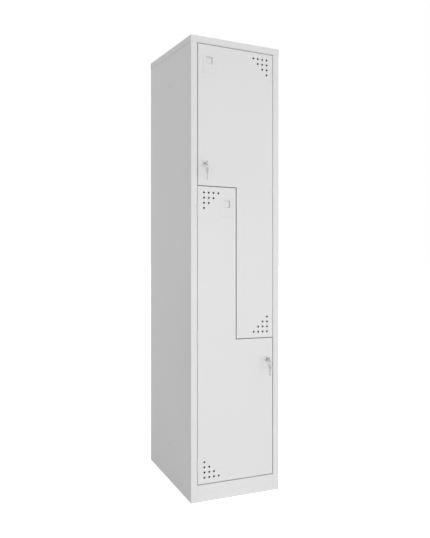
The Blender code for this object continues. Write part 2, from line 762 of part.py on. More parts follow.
def add_lock_rotor(door, axis):
    # Keyed barrel, cam and cam screw turn together. The cam hangs down when the lock is open.
    lock = door.lock_place()
    name = door.name + "_lock_barrel"
    profile = [(BARREL_RADIUS, -LOCK_FLANGE_HEIGHT), (BARREL_RADIUS, BARREL_END)]
    barrel = add_object(name, turned(name, profile, "Y"), "nickel", lock, axis=axis)
    tail = BARREL_TAIL / 2
    tail_end = CAM_REAR - SEAT_GAP
    add_to(barrel, block("tail", (-tail, BARREL_END - CUT_OVERRUN, -tail), (tail, tail_end, tail)))
    slot_x = KEY_THICKNESS / 2 + KEY_CLEARANCE
    slot_z = KEY_BLADE_WIDTH / 2 + KEY_CLEARANCE
    slot_low = (-slot_x, -LOCK_FLANGE_HEIGHT - CUT_OVERRUN, -slot_z)
    cut(barrel, block("keyway", slot_low, (slot_x, KEYWAY_END, slot_z)))
    tapping = circle(SCREW_RADIUS + SEAT_GAP, VENT_SIDES)
    cut(barrel, prism("tapping", tapping, "Y", BARREL_END - SCREW_DEPTH, CAM_REAR + CUT_OVERRUN))

    name = door.name + "_lock_cam"
    outline = circle(CAM_HUB_RADIUS, ROUND_SIDES)[:ROUND_SIDES // 2 + 1]
    tip = CAM_TIP_WIDTH / 2
    corner = CAM_TIP_WIDTH / 4
    outline += [(-tip, -CAM_REACH + corner), (corner - tip, -CAM_REACH)]
    outline += [(tip - corner, -CAM_REACH), (tip, -CAM_REACH + corner)]
    cam = add_object(name, prism(name, outline, "Y", CAM_FRONT, CAM_REAR), "zinc", lock, axis=axis)
    seat = tail + SEAT_GAP
    cut(cam, block("square", (-seat, CAM_FRONT - CUT_OVERRUN, -seat), (seat, CAM_REAR + CUT_OVERRUN, seat)))

    name = door.name + "_cam_screw"
    head = CAM_REAR + SEAT_GAP
    profile = [
        (SCREW_RADIUS, BARREL_END - SCREW_DEPTH + SEAT_GAP),
        (SCREW_RADIUS, head),
        (SCREW_HEAD_RADIUS, head),
        (SCREW_HEAD_RADIUS, head + SCREW_HEAD_HEIGHT / 2),
        (SCREW_HEAD_RADIUS * SCREW_CROWN_SHARE, head + SCREW_HEAD_HEIGHT),
    ]
    add_object(name, turned(name, profile, "Y", VENT_SIDES), "zinc", lock, axis=axis)


def key_mesh(name):
    # Flat key in its own plane: (along, across), with the shoulder at 0 and the blade running positive.
    half_neck = KEY_NECK_WIDTH / 2
    half_blade = KEY_BLADE_WIDTH / 2
    opening = math.asin(half_neck / KEY_BOW_RADIUS)
    steps = ROUND_SIDES - 2
    outline = []
    for step in range(steps + 1):
        angle = opening + (math.tau - 2 * opening) * step / steps
        outline.append((KEY_BOW_CENTRE + KEY_BOW_RADIUS * math.cos(angle), KEY_BOW_RADIUS * math.sin(angle)))
    outline += [(0, -half_neck), (0, -half_blade)]
    outline.append((KEY_BLADE_LENGTH - KEY_TIP_LENGTH, -half_blade))
    outline.append((KEY_BLADE_LENGTH, -half_blade * KEY_TIP_SHARE))
    outline.append((KEY_BLADE_LENGTH - KEY_TIP_LENGTH, half_blade))
    pitch = (KEY_BLADE_LENGTH - KEY_TIP_LENGTH) / (KEY_CUTS + 1)
    for index in range(KEY_CUTS, 0, -1):
        depth = KEY_CUT_DEPTH * (1 if index % 2 else SHALLOW_CUT_SHARE)
        for along_share, depth_share in KEY_CUT_SHARES:
            outline.append(((index + along_share) * pitch, half_blade - depth * depth_share))
    outline += [(0, half_blade), (0, half_neck)]
    mesh = prism(name, outline, "X", -KEY_THICKNESS / 2, KEY_THICKNESS / 2)
    hole = circle(KEY_HOLE_RADIUS, ROUND_SIDES * 2 // 3, (KEY_HOLE_CENTRE, 0))
    reach = KEY_THICKNESS / 2 + CUT_OVERRUN
    return mesh, prism("bow_hole", hole, "X", -reach, reach)


def add_keys(door, door_axis):
    # The first key stands in the lock, and the second hangs from its ring, both in the lock's upright plane.
    lock = door.lock_place()
    rotor_axis = add_axis(door.name + "_lock_axis", lock, door_axis)
    add_lock_rotor(door, rotor_axis)

    key_axis = add_axis(door.name + "_key_slide", lock, rotor_axis)
    shoulder = lock + Vector((0, SHOULDER_SETBACK, 0))
    name = door.name + "_key"
    mesh, hole = key_mesh(name)
    cut(add_object(name, mesh, "nickel", shoulder, axis=key_axis), hole)

    wire = lock + Vector((0, HOLE_SETBACK, -WIRE_DROP))
    ring_axis = add_axis(door.name + "_ring_axis", wire, key_axis)
    name = door.name + "_key_ring"
    body = bmesh.new()
    wire_section = circle(RING_WIRE_RADIUS, VENT_SIDES * 2 // 3)
    loft(body, [
        [on_plane("Y", point, along) for point in circle(RING_RADIUS + across, ROUND_SIDES)]
        for across, along in wire_section
    ], closed=True)
    centre = wire - Vector((0, 0, RING_RADIUS))
    add_object(name, mesh_from(name, body, True), "zinc", centre, axis=ring_axis)

    spare_wire = wire - Vector((0, 0, 2 * RING_RADIUS))
    spare_axis = add_axis(door.name + "_spare_key_axis", spare_wire, ring_axis)
    name = door.name + "_spare_key"
    mesh, hole = key_mesh(name)
    hang = spare_wire + Vector((0, 0, KEY_HOLE_CENTRE - WIRE_DROP))
    turn = (-math.pi / 2, 0, 0)
    cut(add_object(name, mesh, "nickel", hang, turn, spare_axis), hole)


def add_hook(name, x, ceiling):
    # A double coat hook bent from one strip, its plate held up against a shelf or the cap.
    middle = HOOK_STRIP / 2
    plate = HOOK_PLATE / 2
    prong = plate + HOOK_THROAT
    top = ceiling - SEAT_GAP - middle
    bottom = top - HOOK_DROP
    half = [(prong, bottom + HOOK_TIP), (prong, bottom), (plate, bottom), (plate, top)]
    path = [(x + px, pz) for px, pz in half] + [(x - px, pz) for px, pz in reversed(half)]
    low = CABINET_MIDDLE - HOOK_WIDTH / 2
    mesh = folded(name, path, HOOK_STRIP, "Y", low, low + HOOK_WIDTH, HOOK_BEND)
    add_object(name, mesh, "zinc")


def build():
    remove_old_objects()
    for name, side in (("left_side_panel", -1), ("right_side_panel", 1)):
        add_side_panel(name, side)
    for name, side in (("left_door_stop", -1), ("right_door_stop", 1)):
        add_door_stop(name, side)
    add_back_panel()
    add_top_cap()
    add_cross_rail("top_rail", CARCASS_TOP, OPENING_TOP, -1)
    add_cross_rail("plinth", 0, PLINTH_HEIGHT, 1)
    add_floor_panel()
    add_partition()
    leg_middle = INNER_HALF / 2
    add_hook("upper_coat_hook", leg_middle, CABINET_HEIGHT - CARCASS_SHEET)
    add_hook("lower_coat_hook", -leg_middle, UPPER_SPLIT + NOSE_WIDTH / 2 - CARCASS_SHEET)

    doors = [
        Door("upper_door", 1, LOWER_SPLIT + HALF_STEP, UPPER_SPLIT + HALF_STEP, OPENING_TOP - TOP_GAP,
             UPPER_CARD_SIDE, UPPER_CARD_DROP),
        Door("lower_door", -1, UPPER_SPLIT - HALF_STEP, LOWER_SPLIT - HALF_STEP, PLINTH_HEIGHT + FOOT_GAP,
             LOWER_CARD_SIDE, LOWER_CARD_DROP),
    ]
    for door in doors:
        axis = add_axis(door.name + "_hinge_axis", Vector((door.side * HINGE_X, HINGE_Y, 0)))
        add_door_panel(door, axis)
        add_stiffener(door, axis)
        add_card(door, axis)
        add_hinges(door, axis)
        add_buffers(door)
        add_lock_housing(door, axis)
        add_keys(door, axis)


build()
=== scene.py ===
import math
from types import SimpleNamespace as Sizes

import bmesh
import bpy
from mathutils import Matrix, Vector


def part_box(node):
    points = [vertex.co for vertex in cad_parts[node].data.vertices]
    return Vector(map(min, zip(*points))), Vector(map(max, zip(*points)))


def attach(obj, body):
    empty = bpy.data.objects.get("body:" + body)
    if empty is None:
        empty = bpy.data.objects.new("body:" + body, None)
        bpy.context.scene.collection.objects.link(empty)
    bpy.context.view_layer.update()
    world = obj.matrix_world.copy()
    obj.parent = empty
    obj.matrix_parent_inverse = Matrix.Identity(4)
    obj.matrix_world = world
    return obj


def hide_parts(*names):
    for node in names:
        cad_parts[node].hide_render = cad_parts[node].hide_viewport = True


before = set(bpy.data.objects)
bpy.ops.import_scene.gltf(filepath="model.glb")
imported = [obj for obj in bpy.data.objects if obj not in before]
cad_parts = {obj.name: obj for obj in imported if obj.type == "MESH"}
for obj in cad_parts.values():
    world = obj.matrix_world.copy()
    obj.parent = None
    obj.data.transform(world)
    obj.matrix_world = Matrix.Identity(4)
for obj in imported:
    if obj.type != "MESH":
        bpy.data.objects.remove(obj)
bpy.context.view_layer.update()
scene = bpy.context.scene
print("frame loaded with", len(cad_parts), "nodes")


def linked(name, data):
    # a new object in the scene
    item = bpy.data.objects.new(name, data)
    scene.collection.objects.link(item)
    return item


# ---- camera

camera = Sizes(
    place=(-1.0756, -2.5091, 1.0491),  # in front and to the left, a little above half height
    yaw=25.855,                        # degrees to the right
    focal=635.2,                       # in picture points, as the rest here
    horizon=(242.63, 231.77),
    picture=(430, 538),
    skew=0.03222,                      # how much level lines rise to the right in the photo
)


def makeCamera():
    wide, high = camera.picture
    data = bpy.data.cameras.new("camera")
    data.lens = data.sensor_width * camera.focal / high
    data.shift_x = (wide / 2 - camera.horizon[0]) / high
    data.shift_y = (camera.horizon[1] - high / 2) / high
    eye = linked("camera", data)
    yaw = math.radians(camera.yaw)
    right = Vector((math.cos(yaw), -math.sin(yaw), 0))
    up = Vector((0, 0, 1))
    views = []
    for skew in (0, camera.skew):
        view = Matrix((right + up * skew, up, right.cross(up))).transposed().to_4x4()
        view.translation = camera.place
        views.append(view)
    plain, skewed = views
    eye.matrix_world = plain
    eye.parent = linked("camera_skew", None)
    eye.matrix_parent_inverse = skewed @ plain.inverted()
    scene.camera = eye


makeCamera()


# ---- nodes and colours

def fromHex(code):
    # sRGB hex to the linear colour that a socket wants
    levels = [int(code[i:i + 2], 16) / 255 for i in (1, 3, 5)]
    return tuple(c / 12.92 if c <= 0.04045 else ((c + 0.055) / 1.055) ** 2.4 for c in levels) + (1,)


def addNode(tree, kind, inputs=(), **settings):
    # one node with its settings and its inputs, named in a dict or in order in a tuple;
    # an input takes a value, a socket, or a node, which gives its first output
    node = tree.nodes.new(kind)
    for name, value in settings.items():
        setattr(node, name, value)
    for key, value in inputs.items() if isinstance(inputs, dict) else enumerate(inputs):
        if isinstance(value, bpy.types.Node):
            value = value.outputs[0]
        if isinstance(value, bpy.types.NodeSocket):
            tree.links.new(value, node.inputs[key])
        else:
            node.inputs[key].default_value = value
    return node


def startMaterial(name, **sockets):
    material = bpy.data.materials.new(name)
    material.use_nodes = True
    tree = material.node_tree
    shader = tree.nodes["Principled BSDF"]
    for key, value in sockets.items():
        shader.inputs[key.replace("_", " ")].default_value = value
    place = addNode(tree, "ShaderNodeTexCoord").outputs["Object"]
    return material, tree, shader, place


# ---- lights, floor and background

studio = Sizes(
    fill=0.41,       # what the white room gives from all round
    front=0.84,      # how much more its front wall gives
    # power, size, place and aim of each soft box; the key's shadow falls left of the locks
    boxes={
        "front_box": (6.3, (0.7, 1.5), (-0.10, -1.9, 0.45), (-0.12, -0.23, 0.70)),
        "side_box": (0.5, (0.5, 1.0), (-0.9, 0.55, 0.55), (-0.19, 0.25, 0.55)),
        "key": (7.0, (0.4, 2.4), (2.35, -2.75, 0.85), (0.0, -0.23, 0.75)),
    },
    floorColour="#F4F4F4",
    floorGlow=0.62,  # lifts the open floor to white in the picture only
    floorSize=30,
)


def makeStudio():
    world = bpy.data.worlds.new("white_room")
    scene.world = world
    world.use_nodes = True
    tree = world.node_tree
    tree.nodes.clear()
    ray = addNode(tree, "ShaderNodeLightPath").outputs
    seen = addNode(tree, "ShaderNodeMath", (ray["Is Camera Ray"], ray["Is Glossy Ray"]),
                   operation="MAXIMUM")
    seen = addNode(tree, "ShaderNodeMath", (seen, ray["Is Transmission Ray"]), operation="MAXIMUM")
    way = addNode(tree, "ShaderNodeTexCoord").outputs["Generated"]
    ahead = addNode(tree, "ShaderNodeVectorMath", (way, (0, -1, 0)), operation="DOT_PRODUCT")
    ahead = addNode(tree, "ShaderNodeMath", (ahead.outputs["Value"], 0.0), operation="MAXIMUM")
    level = addNode(tree, "ShaderNodeMath", (ahead, studio.front, studio.fill),
                    operation="MULTIPLY_ADD")
    fill = addNode(tree, "ShaderNodeBackground", {"Color": (1, 1, 1, 1), "Strength": level})
    white = addNode(tree, "ShaderNodeBackground", {"Color": (1, 1, 1, 1), "Strength": 1})
    mixed = addNode(tree, "ShaderNodeMixShader", (seen, fill, white))
    addNode(tree, "ShaderNodeOutputWorld", {"Surface": mixed})

    for name, (power, size, place, aim) in studio.boxes.items():
        lamp = bpy.data.lights.new(name, "AREA")
        lamp.shape = "RECTANGLE"
        lamp.size, lamp.size_y = size
        lamp.energy = power
        box = linked(name, lamp)
        box.location = place
        box.rotation_euler = (Vector(aim) - box.location).to_track_quat("-Z", "Y").to_euler()
        box.visible_camera = False

    half = studio.floorSize / 2
    mesh = bpy.data.meshes.new("floor")
    corners = [(-half, -half, 0), (half, -half, 0), (half, half, 0), (-half, half, 0)]
    mesh.from_pydata(corners, [], [(0, 1, 2, 3)])
    floor = linked("floor", mesh)
    # matt white studio floor
    material, tree, shader, place = startMaterial("studio_floor", Roughness=0.9,
                                                  Base_Color=fromHex(studio.floorColour))
    ray = addNode(tree, "ShaderNodeLightPath").outputs
    glow = addNode(tree, "ShaderNodeMath", (ray["Is Camera Ray"], studio.floorGlow),
                   operation="MULTIPLY")
    lift = addNode(tree, "ShaderNodeEmission", {"Color": (1, 1, 1, 1), "Strength": glow})
    both = addNode(tree, "ShaderNodeAddShader", (shader, lift))
    tree.links.new(both.outputs[0], tree.nodes["Material Output"].inputs["Surface"])
    mesh.materials.append(material)


makeStudio()
print("camera and studio made")


# ---- finishes

def makeFinish(name, shades, drift, grain, relief, rough=None, **sockets):
    # the drift leads the colour from shade to shade; the grain gives the relief and, with a range, the
    # roughness. Each is a noise's scale and detail, with a scale for each axis where it is drawn out
    material, tree, shader, place = startMaterial(name, **sockets)
    noises = []
    for scale, detail in (drift, grain):
        drawn = place
        if isinstance(scale, tuple):
            drawn, scale = addNode(tree, "ShaderNodeMapping", {"Vector": place, "Scale": scale}), 1.0
        noise = addNode(tree, "ShaderNodeTexNoise", {"Vector": drawn, "Scale": scale, "Detail": detail})
        noises.append(noise)
    colours = {"Factor": noises[0], "A": fromHex(shades[0]), "B": fromHex(shades[1])}
    tone = addNode(tree, "ShaderNodeMix", colours, data_type="RGBA")
    tree.links.new(tone.outputs["Result"], shader.inputs["Base Color"])
    bump = addNode(tree, "ShaderNodeBump", {"Height": noise, "Distance": relief, "Strength": 1.0})
    tree.links.new(bump.outputs["Normal"], shader.inputs["Normal"])
    if rough:
        dull = addNode(tree, "ShaderNodeMapRange", {"Value": noise, "To Min": rough[0], "To Max": rough[1]})
        tree.links.new(dull.outputs["Result"], shader.inputs["Roughness"])
    return material


def platedMetal(name, shades, rough, relief):
    # a bright plated metal whose polish leaves fine 0.4 mm streaks; its colour dulls a little in patches
    return makeFinish(name, shades, (160.0, 3.0), ((2500.0, 2500.0, 260.0), 2.0), relief,
                      (rough - 0.05, rough + 0.07), Metallic=1.0)


def moulded(name, shades, rough):
    # rubber or polythene from a mould, which leaves a faint 0.6 mm grain
    grain = (1800.0, 2.0)
    return makeFinish(name, shades, grain, grain, 0.00004, IOR=1.52, Roughness=rough)


cardFibres = ((900.0, 900.0, 2600.0), 4.0)
finishes = {
    # light grey polyester powder baked on steel: satin, even, with a very fine 2.4 mm orange peel
    "paint": makeFinish("powder_coated_steel", ("#DFDFDF", "#E3E3E3"), (2.2, 2.0), (420.0, 2.0), 0.00003,
                        (0.42, 0.50), IOR=1.5),
    "zinc": platedMetal("zinc_plated_steel", ("#CFD0D1", "#BBBCBE"), 0.34, 0.00001),
    "chrome": platedMetal("chrome_plate", ("#EBEBEC", "#E2E2E3"), 0.14, 0.000003),
    "nickel": platedMetal("nickel_plated_brass", ("#DEDDDB", "#CFCECB"), 0.28, 0.000006),
    "rubber": moulded("moulded_nitrile_rubber", ("#191919", "#262626"), 0.8),
    "polythene": moulded("moulded_polythene", ("#D2D2D3", "#D7D7D8"), 0.45),
    # uncoated pale grey card: matt, with short fibres in the surface
    "card": makeFinish("uncoated_card", ("#E2E2E1", "#EBEBEA"), cardFibres, cardFibres, 0.00003,
                       IOR=1.47, Roughness=0.9),
}
print("finishes made:", ", ".join(sorted(finishes)))


# ---- mesh helpers

def onPlane(axis, point, along):
    # a flat outline's point, square to an axis, at a place along it
    spot = list(point)
    spot.insert("xyz".index(axis), along)
    return spot


def loft(rings, closed=False):
    body = bmesh.new()
    loops = [[body.verts.new(point) for point in ring] for ring in rings]
    pairs = list(zip(loops, loops[1:])) + ([(loops[-1], loops[0])] if closed else [])
    for lower, upper in pairs:
        for i in range(len(lower)):
            j = (i + 1) % len(lower)
            body.faces.new((lower[i], lower[j], upper[j], upper[i]))
    if not closed:
        body.faces.new(loops[0])
        body.faces.new(loops[-1])
    bmesh.ops.recalc_face_normals(body, faces=body.faces)
    mesh = bpy.data.meshes.new("shape")
    body.to_mesh(mesh)
    body.free()
    return mesh


def prism(outline, axis, start, end):
    return loft([[onPlane(axis, point, along) for point in outline] for along in (start, end)])


def rectangle(low, high):
    return [(low[0], low[1]), (high[0], low[1]), (high[0], high[1]), (low[0], high[1])]


def block(low, high):
    return prism(rectangle(low, high), "z", low[2], high[2])


def circle(radius, sides, centre=(0, 0)):
    angles = [math.tau * i / sides for i in range(sides)]
    return [(centre[0] + radius * math.cos(angle), centre[1] + radius * math.sin(angle)) for angle in angles]


def turned(profile, axis, centre=(0, 0, 0), sides=48, closed=False):
    # a lathe shape from (radius, along) pairs; a closed profile leaves a bore
    rings = [[onPlane(axis, point, along) for point in circle(radius, sides)] for radius, along in profile]
    mesh = loft(rings, closed)
    mesh.transform(Matrix.Translation(centre))
    return mesh


def softRectangle(low, high, radius, steps=5):
    # a rectangle with round corners
    left, bottom, right, top = low[0] + radius, low[1] + radius, high[0] - radius, high[1] - radius
    points = []
    for quarter, (x, z) in enumerate(((right, top), (left, top), (left, bottom), (right, bottom))):
        for step in range(steps + 1):
            angle = math.pi / 2 * (quarter + step / steps)
            points.append((x + radius * math.cos(angle), z + radius * math.sin(angle)))
    return points


def roundedPath(points, radius, steps):
    # each inner corner of the path becomes an arc
    path = [Vector(points[0])]
    for before, corner, after in zip(points, points[1:], points[2:]):
        corner = Vector(corner)
        back = (Vector(before) - corner).normalized()
        ahead = (Vector(after) - corner).normalized()
        half = back.angle(ahead) / 2
        reach = radius / math.tan(half)
        centre = corner + (back + ahead).normalized() * (radius / math.sin(half))
        first = corner + back * reach - centre
        sweep = first.angle_signed(corner + ahead * reach - centre)
        for step in range(steps + 1):
            path.append(centre + Matrix.Rotation(-sweep * step / steps, 2) @ first)
    path.append(Vector(points[-1]))
    return path


def sheetSection(path, thickness):
    # the outline of a sheet of even thickness whose middle follows the path
    left, right = [], []
    for i, point in enumerate(path):
        back = (point - path[i - 1]).normalized() if i else None
        ahead = (path[i + 1] - point).normalized() if i + 1 < len(path) else None
        direction = ((back or ahead) + (ahead or back)).normalized()
        normal = Vector((-direction.y, direction.x))
        square = Vector((-(back or ahead).y, (back or ahead).x))
        offset = normal * (thickness / 2 / normal.dot(square))
        left.append(point + offset)
        right.append(point - offset)
    return left + right[::-1]


carcassSheet = 0.0009
doorSheet = 0.0010
gap = 0.0003         # between parts that touch
past = 0.002         # how far a cutting shape reaches past what it cuts
insideBend = 0.0004
bendSteps = 6


def folded(points, thickness, axis, start, end, inside=insideBend, steps=bendSteps):
    path = roundedPath(points, inside + thickness / 2, steps)
    return prism(sheetSection(path, thickness), axis, start, end)


def insetOutline(corners, inset):
    points = [Vector(corner) for corner in corners]
    area = sum(a.x * b.y - b.x * a.y for a, b in zip(points, points[1:] + points[:1]))
    turn = 1 if area > 0 else -1
    moved = []
    for i, point in enumerate(points):
        back = (point - points[i - 1]).normalized()
        ahead = (points[(i + 1) % len(points)] - point).normalized()
        first = Vector((-back.y, back.x)) * turn
        second = Vector((-ahead.y, ahead.x)) * turn
        moved.append(point + (first + second) * (inset / (1 + first.dot(second))))
    return moved


def pan(corners, sheet, depth, lip, axis, face, direction):
    # a flat face with folded edges and, where lip is above zero, a lip turned in
    middle = sheet / 2
    flat = insideBend + sheet
    section = [(middle + flat, middle), (middle, middle), (middle, depth if lip == 0 else depth - middle)]
    if lip:
        section.append((lip, depth - middle))
    path = roundedPath(section, insideBend + middle, bendSteps)
    return loft([[onPlane(axis, point, face + direction * down) for point in insetOutline(corners, inset)]
                 for inset, down in sheetSection(path, sheet)])


def joinMeshes(meshes):
    body = bmesh.new()
    for mesh in meshes:
        body.from_mesh(mesh)
    joined = bpy.data.meshes.new("joined")
    body.to_mesh(joined)
    body.free()
    return joined


def bakeModifiers(item):
    # the evaluated shape becomes the plain mesh, and the modifiers go
    graph = bpy.context.evaluated_depsgraph_get()
    mesh = bpy.data.meshes.new_from_object(item.evaluated_get(graph))
    item.modifiers.clear()
    item.data = mesh
    return mesh


def carve(mesh, steps):
    # booleans in order, each one ("UNION", "DIFFERENCE" or "INTERSECT", mesh)
    host = linked("helper", mesh)
    tools = []
    for operation, shape in steps:
        tool = linked("helper", shape)
        tools.append(tool)
        modifier = host.modifiers.new("carve", "BOOLEAN")
        modifier.operation = operation
        modifier.object = tool
        modifier.solver = "EXACT"
    carved = bakeModifiers(host)
    for item in tools + [host]:
        bpy.data.objects.remove(item, do_unlink=True)
    return carved


def cut(mesh, *shapes):
    return carve(mesh, [("DIFFERENCE", shape) for shape in shapes])


# how wide the eased edge of each kind of part is
eases = {
    "carcass": 0.00018, "cap": 0.0005, "door": 0.0002, "thinSheet": 0.00015, "card": 0.00008, "nut": 0.00015,
    "barrel": 0.00012, "cam": 0.00025, "camScrew": 0.00008, "key": 0.00018, "hook": 0.0007,
}
easedFrom, sharpFrom = 38, 35     # the angles, in degrees, from which an edge is eased or drawn sharp


def addPiece(name, mesh, finish="paint", body="cabinet", ease=None, segments=2):
    # a finished piece at the origin, riding on its body, in place of the node of its name if there is one
    piece = linked(name, mesh)
    mesh.name = name
    mesh.materials.clear()
    mesh.materials.append(finishes[finish])
    mesh.polygons.foreach_set("material_index", [0] * len(mesh.polygons))
    mesh.shade_smooth()
    if ease:
        bevel = piece.modifiers.new("eased_edges", "BEVEL")
        bevel.width = eases[ease]
        bevel.segments = segments
        bevel.limit_method = "ANGLE"
        bevel.angle_limit = math.radians(easedFrom)
        weigh = piece.modifiers.new("flat_faces_first", "WEIGHTED_NORMAL")
        weigh.weight = 90
    else:
        mesh.set_sharp_from_angle(angle=math.radians(sharpFrom))
    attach(piece, body)
    stands = [name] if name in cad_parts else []
    if stands:
        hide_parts(*stands)


# ---- node trees for what repeats

def startTree(name, **inputs):
    tree = bpy.data.node_groups.new(name, "GeometryNodeTree")
    tree.interface.new_socket("Geometry", in_out="INPUT", socket_type="NodeSocketGeometry")
    for label, kind in inputs.items():
        tree.interface.new_socket(label, in_out="INPUT", socket_type="NodeSocket" + kind)
    tree.interface.new_socket("Geometry", in_out="OUTPUT", socket_type="NodeSocketGeometry")
    return tree, tree.nodes.new("NodeGroupInput").outputs


def endTree(tree, geometry, material):
    whole = addNode(tree, "GeometryNodeRealizeInstances", {"Geometry": geometry})
    coated = addNode(tree, "GeometryNodeSetMaterial", {"Geometry": whole.outputs[0], "Material": material})
    out = tree.nodes.new("NodeGroupOutput")
    tree.links.new(coated.outputs[0], out.inputs["Geometry"])


def runTree(mesh, tree, **values):
    # runs a tree on a mesh and gives back the plain result
    item = linked("helper", mesh)
    modifier = item.modifiers.new(tree.name, "NODES")
    modifier.node_group = tree
    for socket in tree.interface.items_tree:
        if socket.in_out == "INPUT" and socket.name in values:
            modifier[socket.identifier] = values[socket.name]
    result = bakeModifiers(item)
    bpy.data.objects.remove(item, do_unlink=True)
    return result


def ventTree():
    # punches a right-angled triangle of round holes, rows counted from its corner
    tree, given = startTree("vent_punch", Corner="Vector", Pitch="Float", Radius="Float", Rows="Int",
                            Sideways="Float", Upwards="Float", Depth="Float", Material="Material")
    rows = given["Rows"]
    total = addNode(tree, "ShaderNodeMath", (rows, rows), operation="MULTIPLY")
    index = addNode(tree, "GeometryNodeInputIndex")
    share = addNode(tree, "ShaderNodeMath", (index, rows), operation="DIVIDE")
    row = addNode(tree, "ShaderNodeMath", (share,), operation="FLOOR")
    column = addNode(tree, "ShaderNodeMath", (index, rows), operation="MODULO")
    stepX = addNode(tree, "ShaderNodeMath", (column, given["Sideways"]), operation="MULTIPLY")
    stepZ = addNode(tree, "ShaderNodeMath", (row, given["Upwards"]), operation="MULTIPLY")
    steps = addNode(tree, "ShaderNodeCombineXYZ", {"X": stepX, "Z": stepZ})
    scaled = addNode(tree, "ShaderNodeVectorMath", {"Vector": steps, "Scale": given["Pitch"]},
                     operation="SCALE")
    spot = addNode(tree, "ShaderNodeVectorMath", (scaled, given["Corner"]), operation="ADD")
    spots = addNode(tree, "GeometryNodePoints", {"Count": total, "Position": spot})
    both = addNode(tree, "ShaderNodeMath", (row, column), operation="ADD")
    limit = addNode(tree, "ShaderNodeMath", (rows, 0.5), operation="SUBTRACT")
    outside = addNode(tree, "ShaderNodeMath", (both, limit), operation="GREATER_THAN")
    kept = addNode(tree, "GeometryNodeDeleteGeometry", {"Geometry": spots, "Selection": outside})
    punch = addNode(tree, "GeometryNodeMeshCylinder", {"Vertices": 32, "Radius": given["Radius"],
                                                       "Depth": given["Depth"]})
    punches = addNode(tree, "GeometryNodeInstanceOnPoints", {"Points": kept, "Instance": punch,
                                                             "Rotation": (math.pi / 2, 0, 0)})
    real = addNode(tree, "GeometryNodeRealizeInstances", {"Geometry": punches})
    holed = addNode(tree, "GeometryNodeMeshBoolean", {"Mesh 1": given["Geometry"], "Mesh 2": real},
                    operation="DIFFERENCE")
    endTree(tree, holed, given["Material"])
    return tree


def studTree():
    # sets a copy of a small turned shape on every point, turned to face the way that the point says
    tree, given = startTree("stud_places", Stud="Object", Material="Material")
    stud = addNode(tree, "GeometryNodeObjectInfo", {"Object": given["Stud"]})
    facing = addNode(tree, "GeometryNodeInputNamedAttribute", {"Name": "facing"}, data_type="FLOAT_VECTOR")
    way = facing.outputs["Attribute"]
    turn = addNode(tree, "FunctionNodeAlignRotationToVector", {"Vector": way}, axis="Z")
    copies = addNode(tree, "GeometryNodeInstanceOnPoints", {
        "Points": given["Geometry"], "Instance": stud.outputs["Geometry"], "Rotation": turn})
    endTree(tree, copies, given["Material"])
    return tree


def coilTree():
    # winds a wire of round section into a coil about Z
    tree, given = startTree("wound_wire", Radius="Float", Height="Float", Turns="Float", Wire="Float",
                            Resolution="Int", Sides="Int", Material="Material")
    line = addNode(tree, "GeometryNodeCurveSpiral", {
        "Resolution": given["Resolution"], "Rotations": given["Turns"], "Start Radius": given["Radius"],
        "End Radius": given["Radius"], "Height": given["Height"]})
    section = addNode(tree, "GeometryNodeCurvePrimitiveCircle", {"Resolution": given["Sides"],
                                                                 "Radius": given["Wire"]})
    wire = addNode(tree, "GeometryNodeCurveToMesh", {"Curve": line, "Profile Curve": section,
                                                     "Fill Caps": True})
    endTree(tree, wire, given["Material"])
    return tree


trees = {"vents": ventTree(), "studs": studTree(), "coil": coilTree()}


def addStuds(name, places, profile, finish="paint", body="cabinet", sides=20):
    # places are (point, facing) pairs; the profile is turned about the facing direction
    mesh = bpy.data.meshes.new("places")
    mesh.from_pydata([point for point, facing in places], [], [])
    facings = mesh.attributes.new("facing", "FLOAT_VECTOR", "POINT")
    for item, (point, facing) in zip(facings.data, places):
        item.vector = facing
    stud = linked("helper", turned(profile, "z", sides=sides))
    result = runTree(mesh, trees["studs"], Stud=stud, Material=finishes[finish])
    bpy.data.objects.remove(stud, do_unlink=True)
    addPiece(name, result, finish, body)


def coil(radius, height, turns, wire, resolution, sides, finish):
    # a wound wire as a mesh about Z, from its foot up
    return runTree(bpy.data.meshes.new("empty"), trees["coil"], Radius=radius, Height=height, Turns=turns,
                   Wire=wire, Resolution=resolution, Sides=sides, Material=finishes[finish])


# ---- cabinet

halfSheet = carcassSheet / 2
capLow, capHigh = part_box("top_cap")
sideLow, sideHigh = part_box("left_side_panel")
cabinet = Sizes(
    halfWidth=capHigh.x, front=capLow.y, rear=capHigh.y, height=capHigh.z, capSkirt=capHigh.z - capLow.z,
    carcassHalf=-sideLow.x, carcassTop=sideHigh.z, stile=0.0253, plinth=0.065, rearFlange=0.018,
    railReveal=0.0025,  # the strip of the top rail that shows under the cap
    stopSetback=0.0205, stopLip=0.012, stopFlange=0.018, stopNotch=0.003,
    nose=0.020, noseReturn=0.010, dividerFlange=0.015, upperSplit=1.222, lowerSplit=0.623,
)
middleY = (cabinet.front + cabinet.rear) / 2
faceY = sideLow.y
proud = carcassSheet + gap
openingHalf = cabinet.carcassHalf - cabinet.stile
openingTop = cabinet.height - cabinet.capSkirt - cabinet.railReveal
stopY = faceY + cabinet.stopSetback
partitionFront = stopY + proud
panelRear = cabinet.rear - proud
flangeRear = panelRear - proud
innerRear = flangeRear - proud
innerHalf = cabinet.carcassHalf - proud
joiningHoles = Sizes(radius=0.0035, fromEnd=0.149, plugRadius=0.0056, plugRise=0.0011)


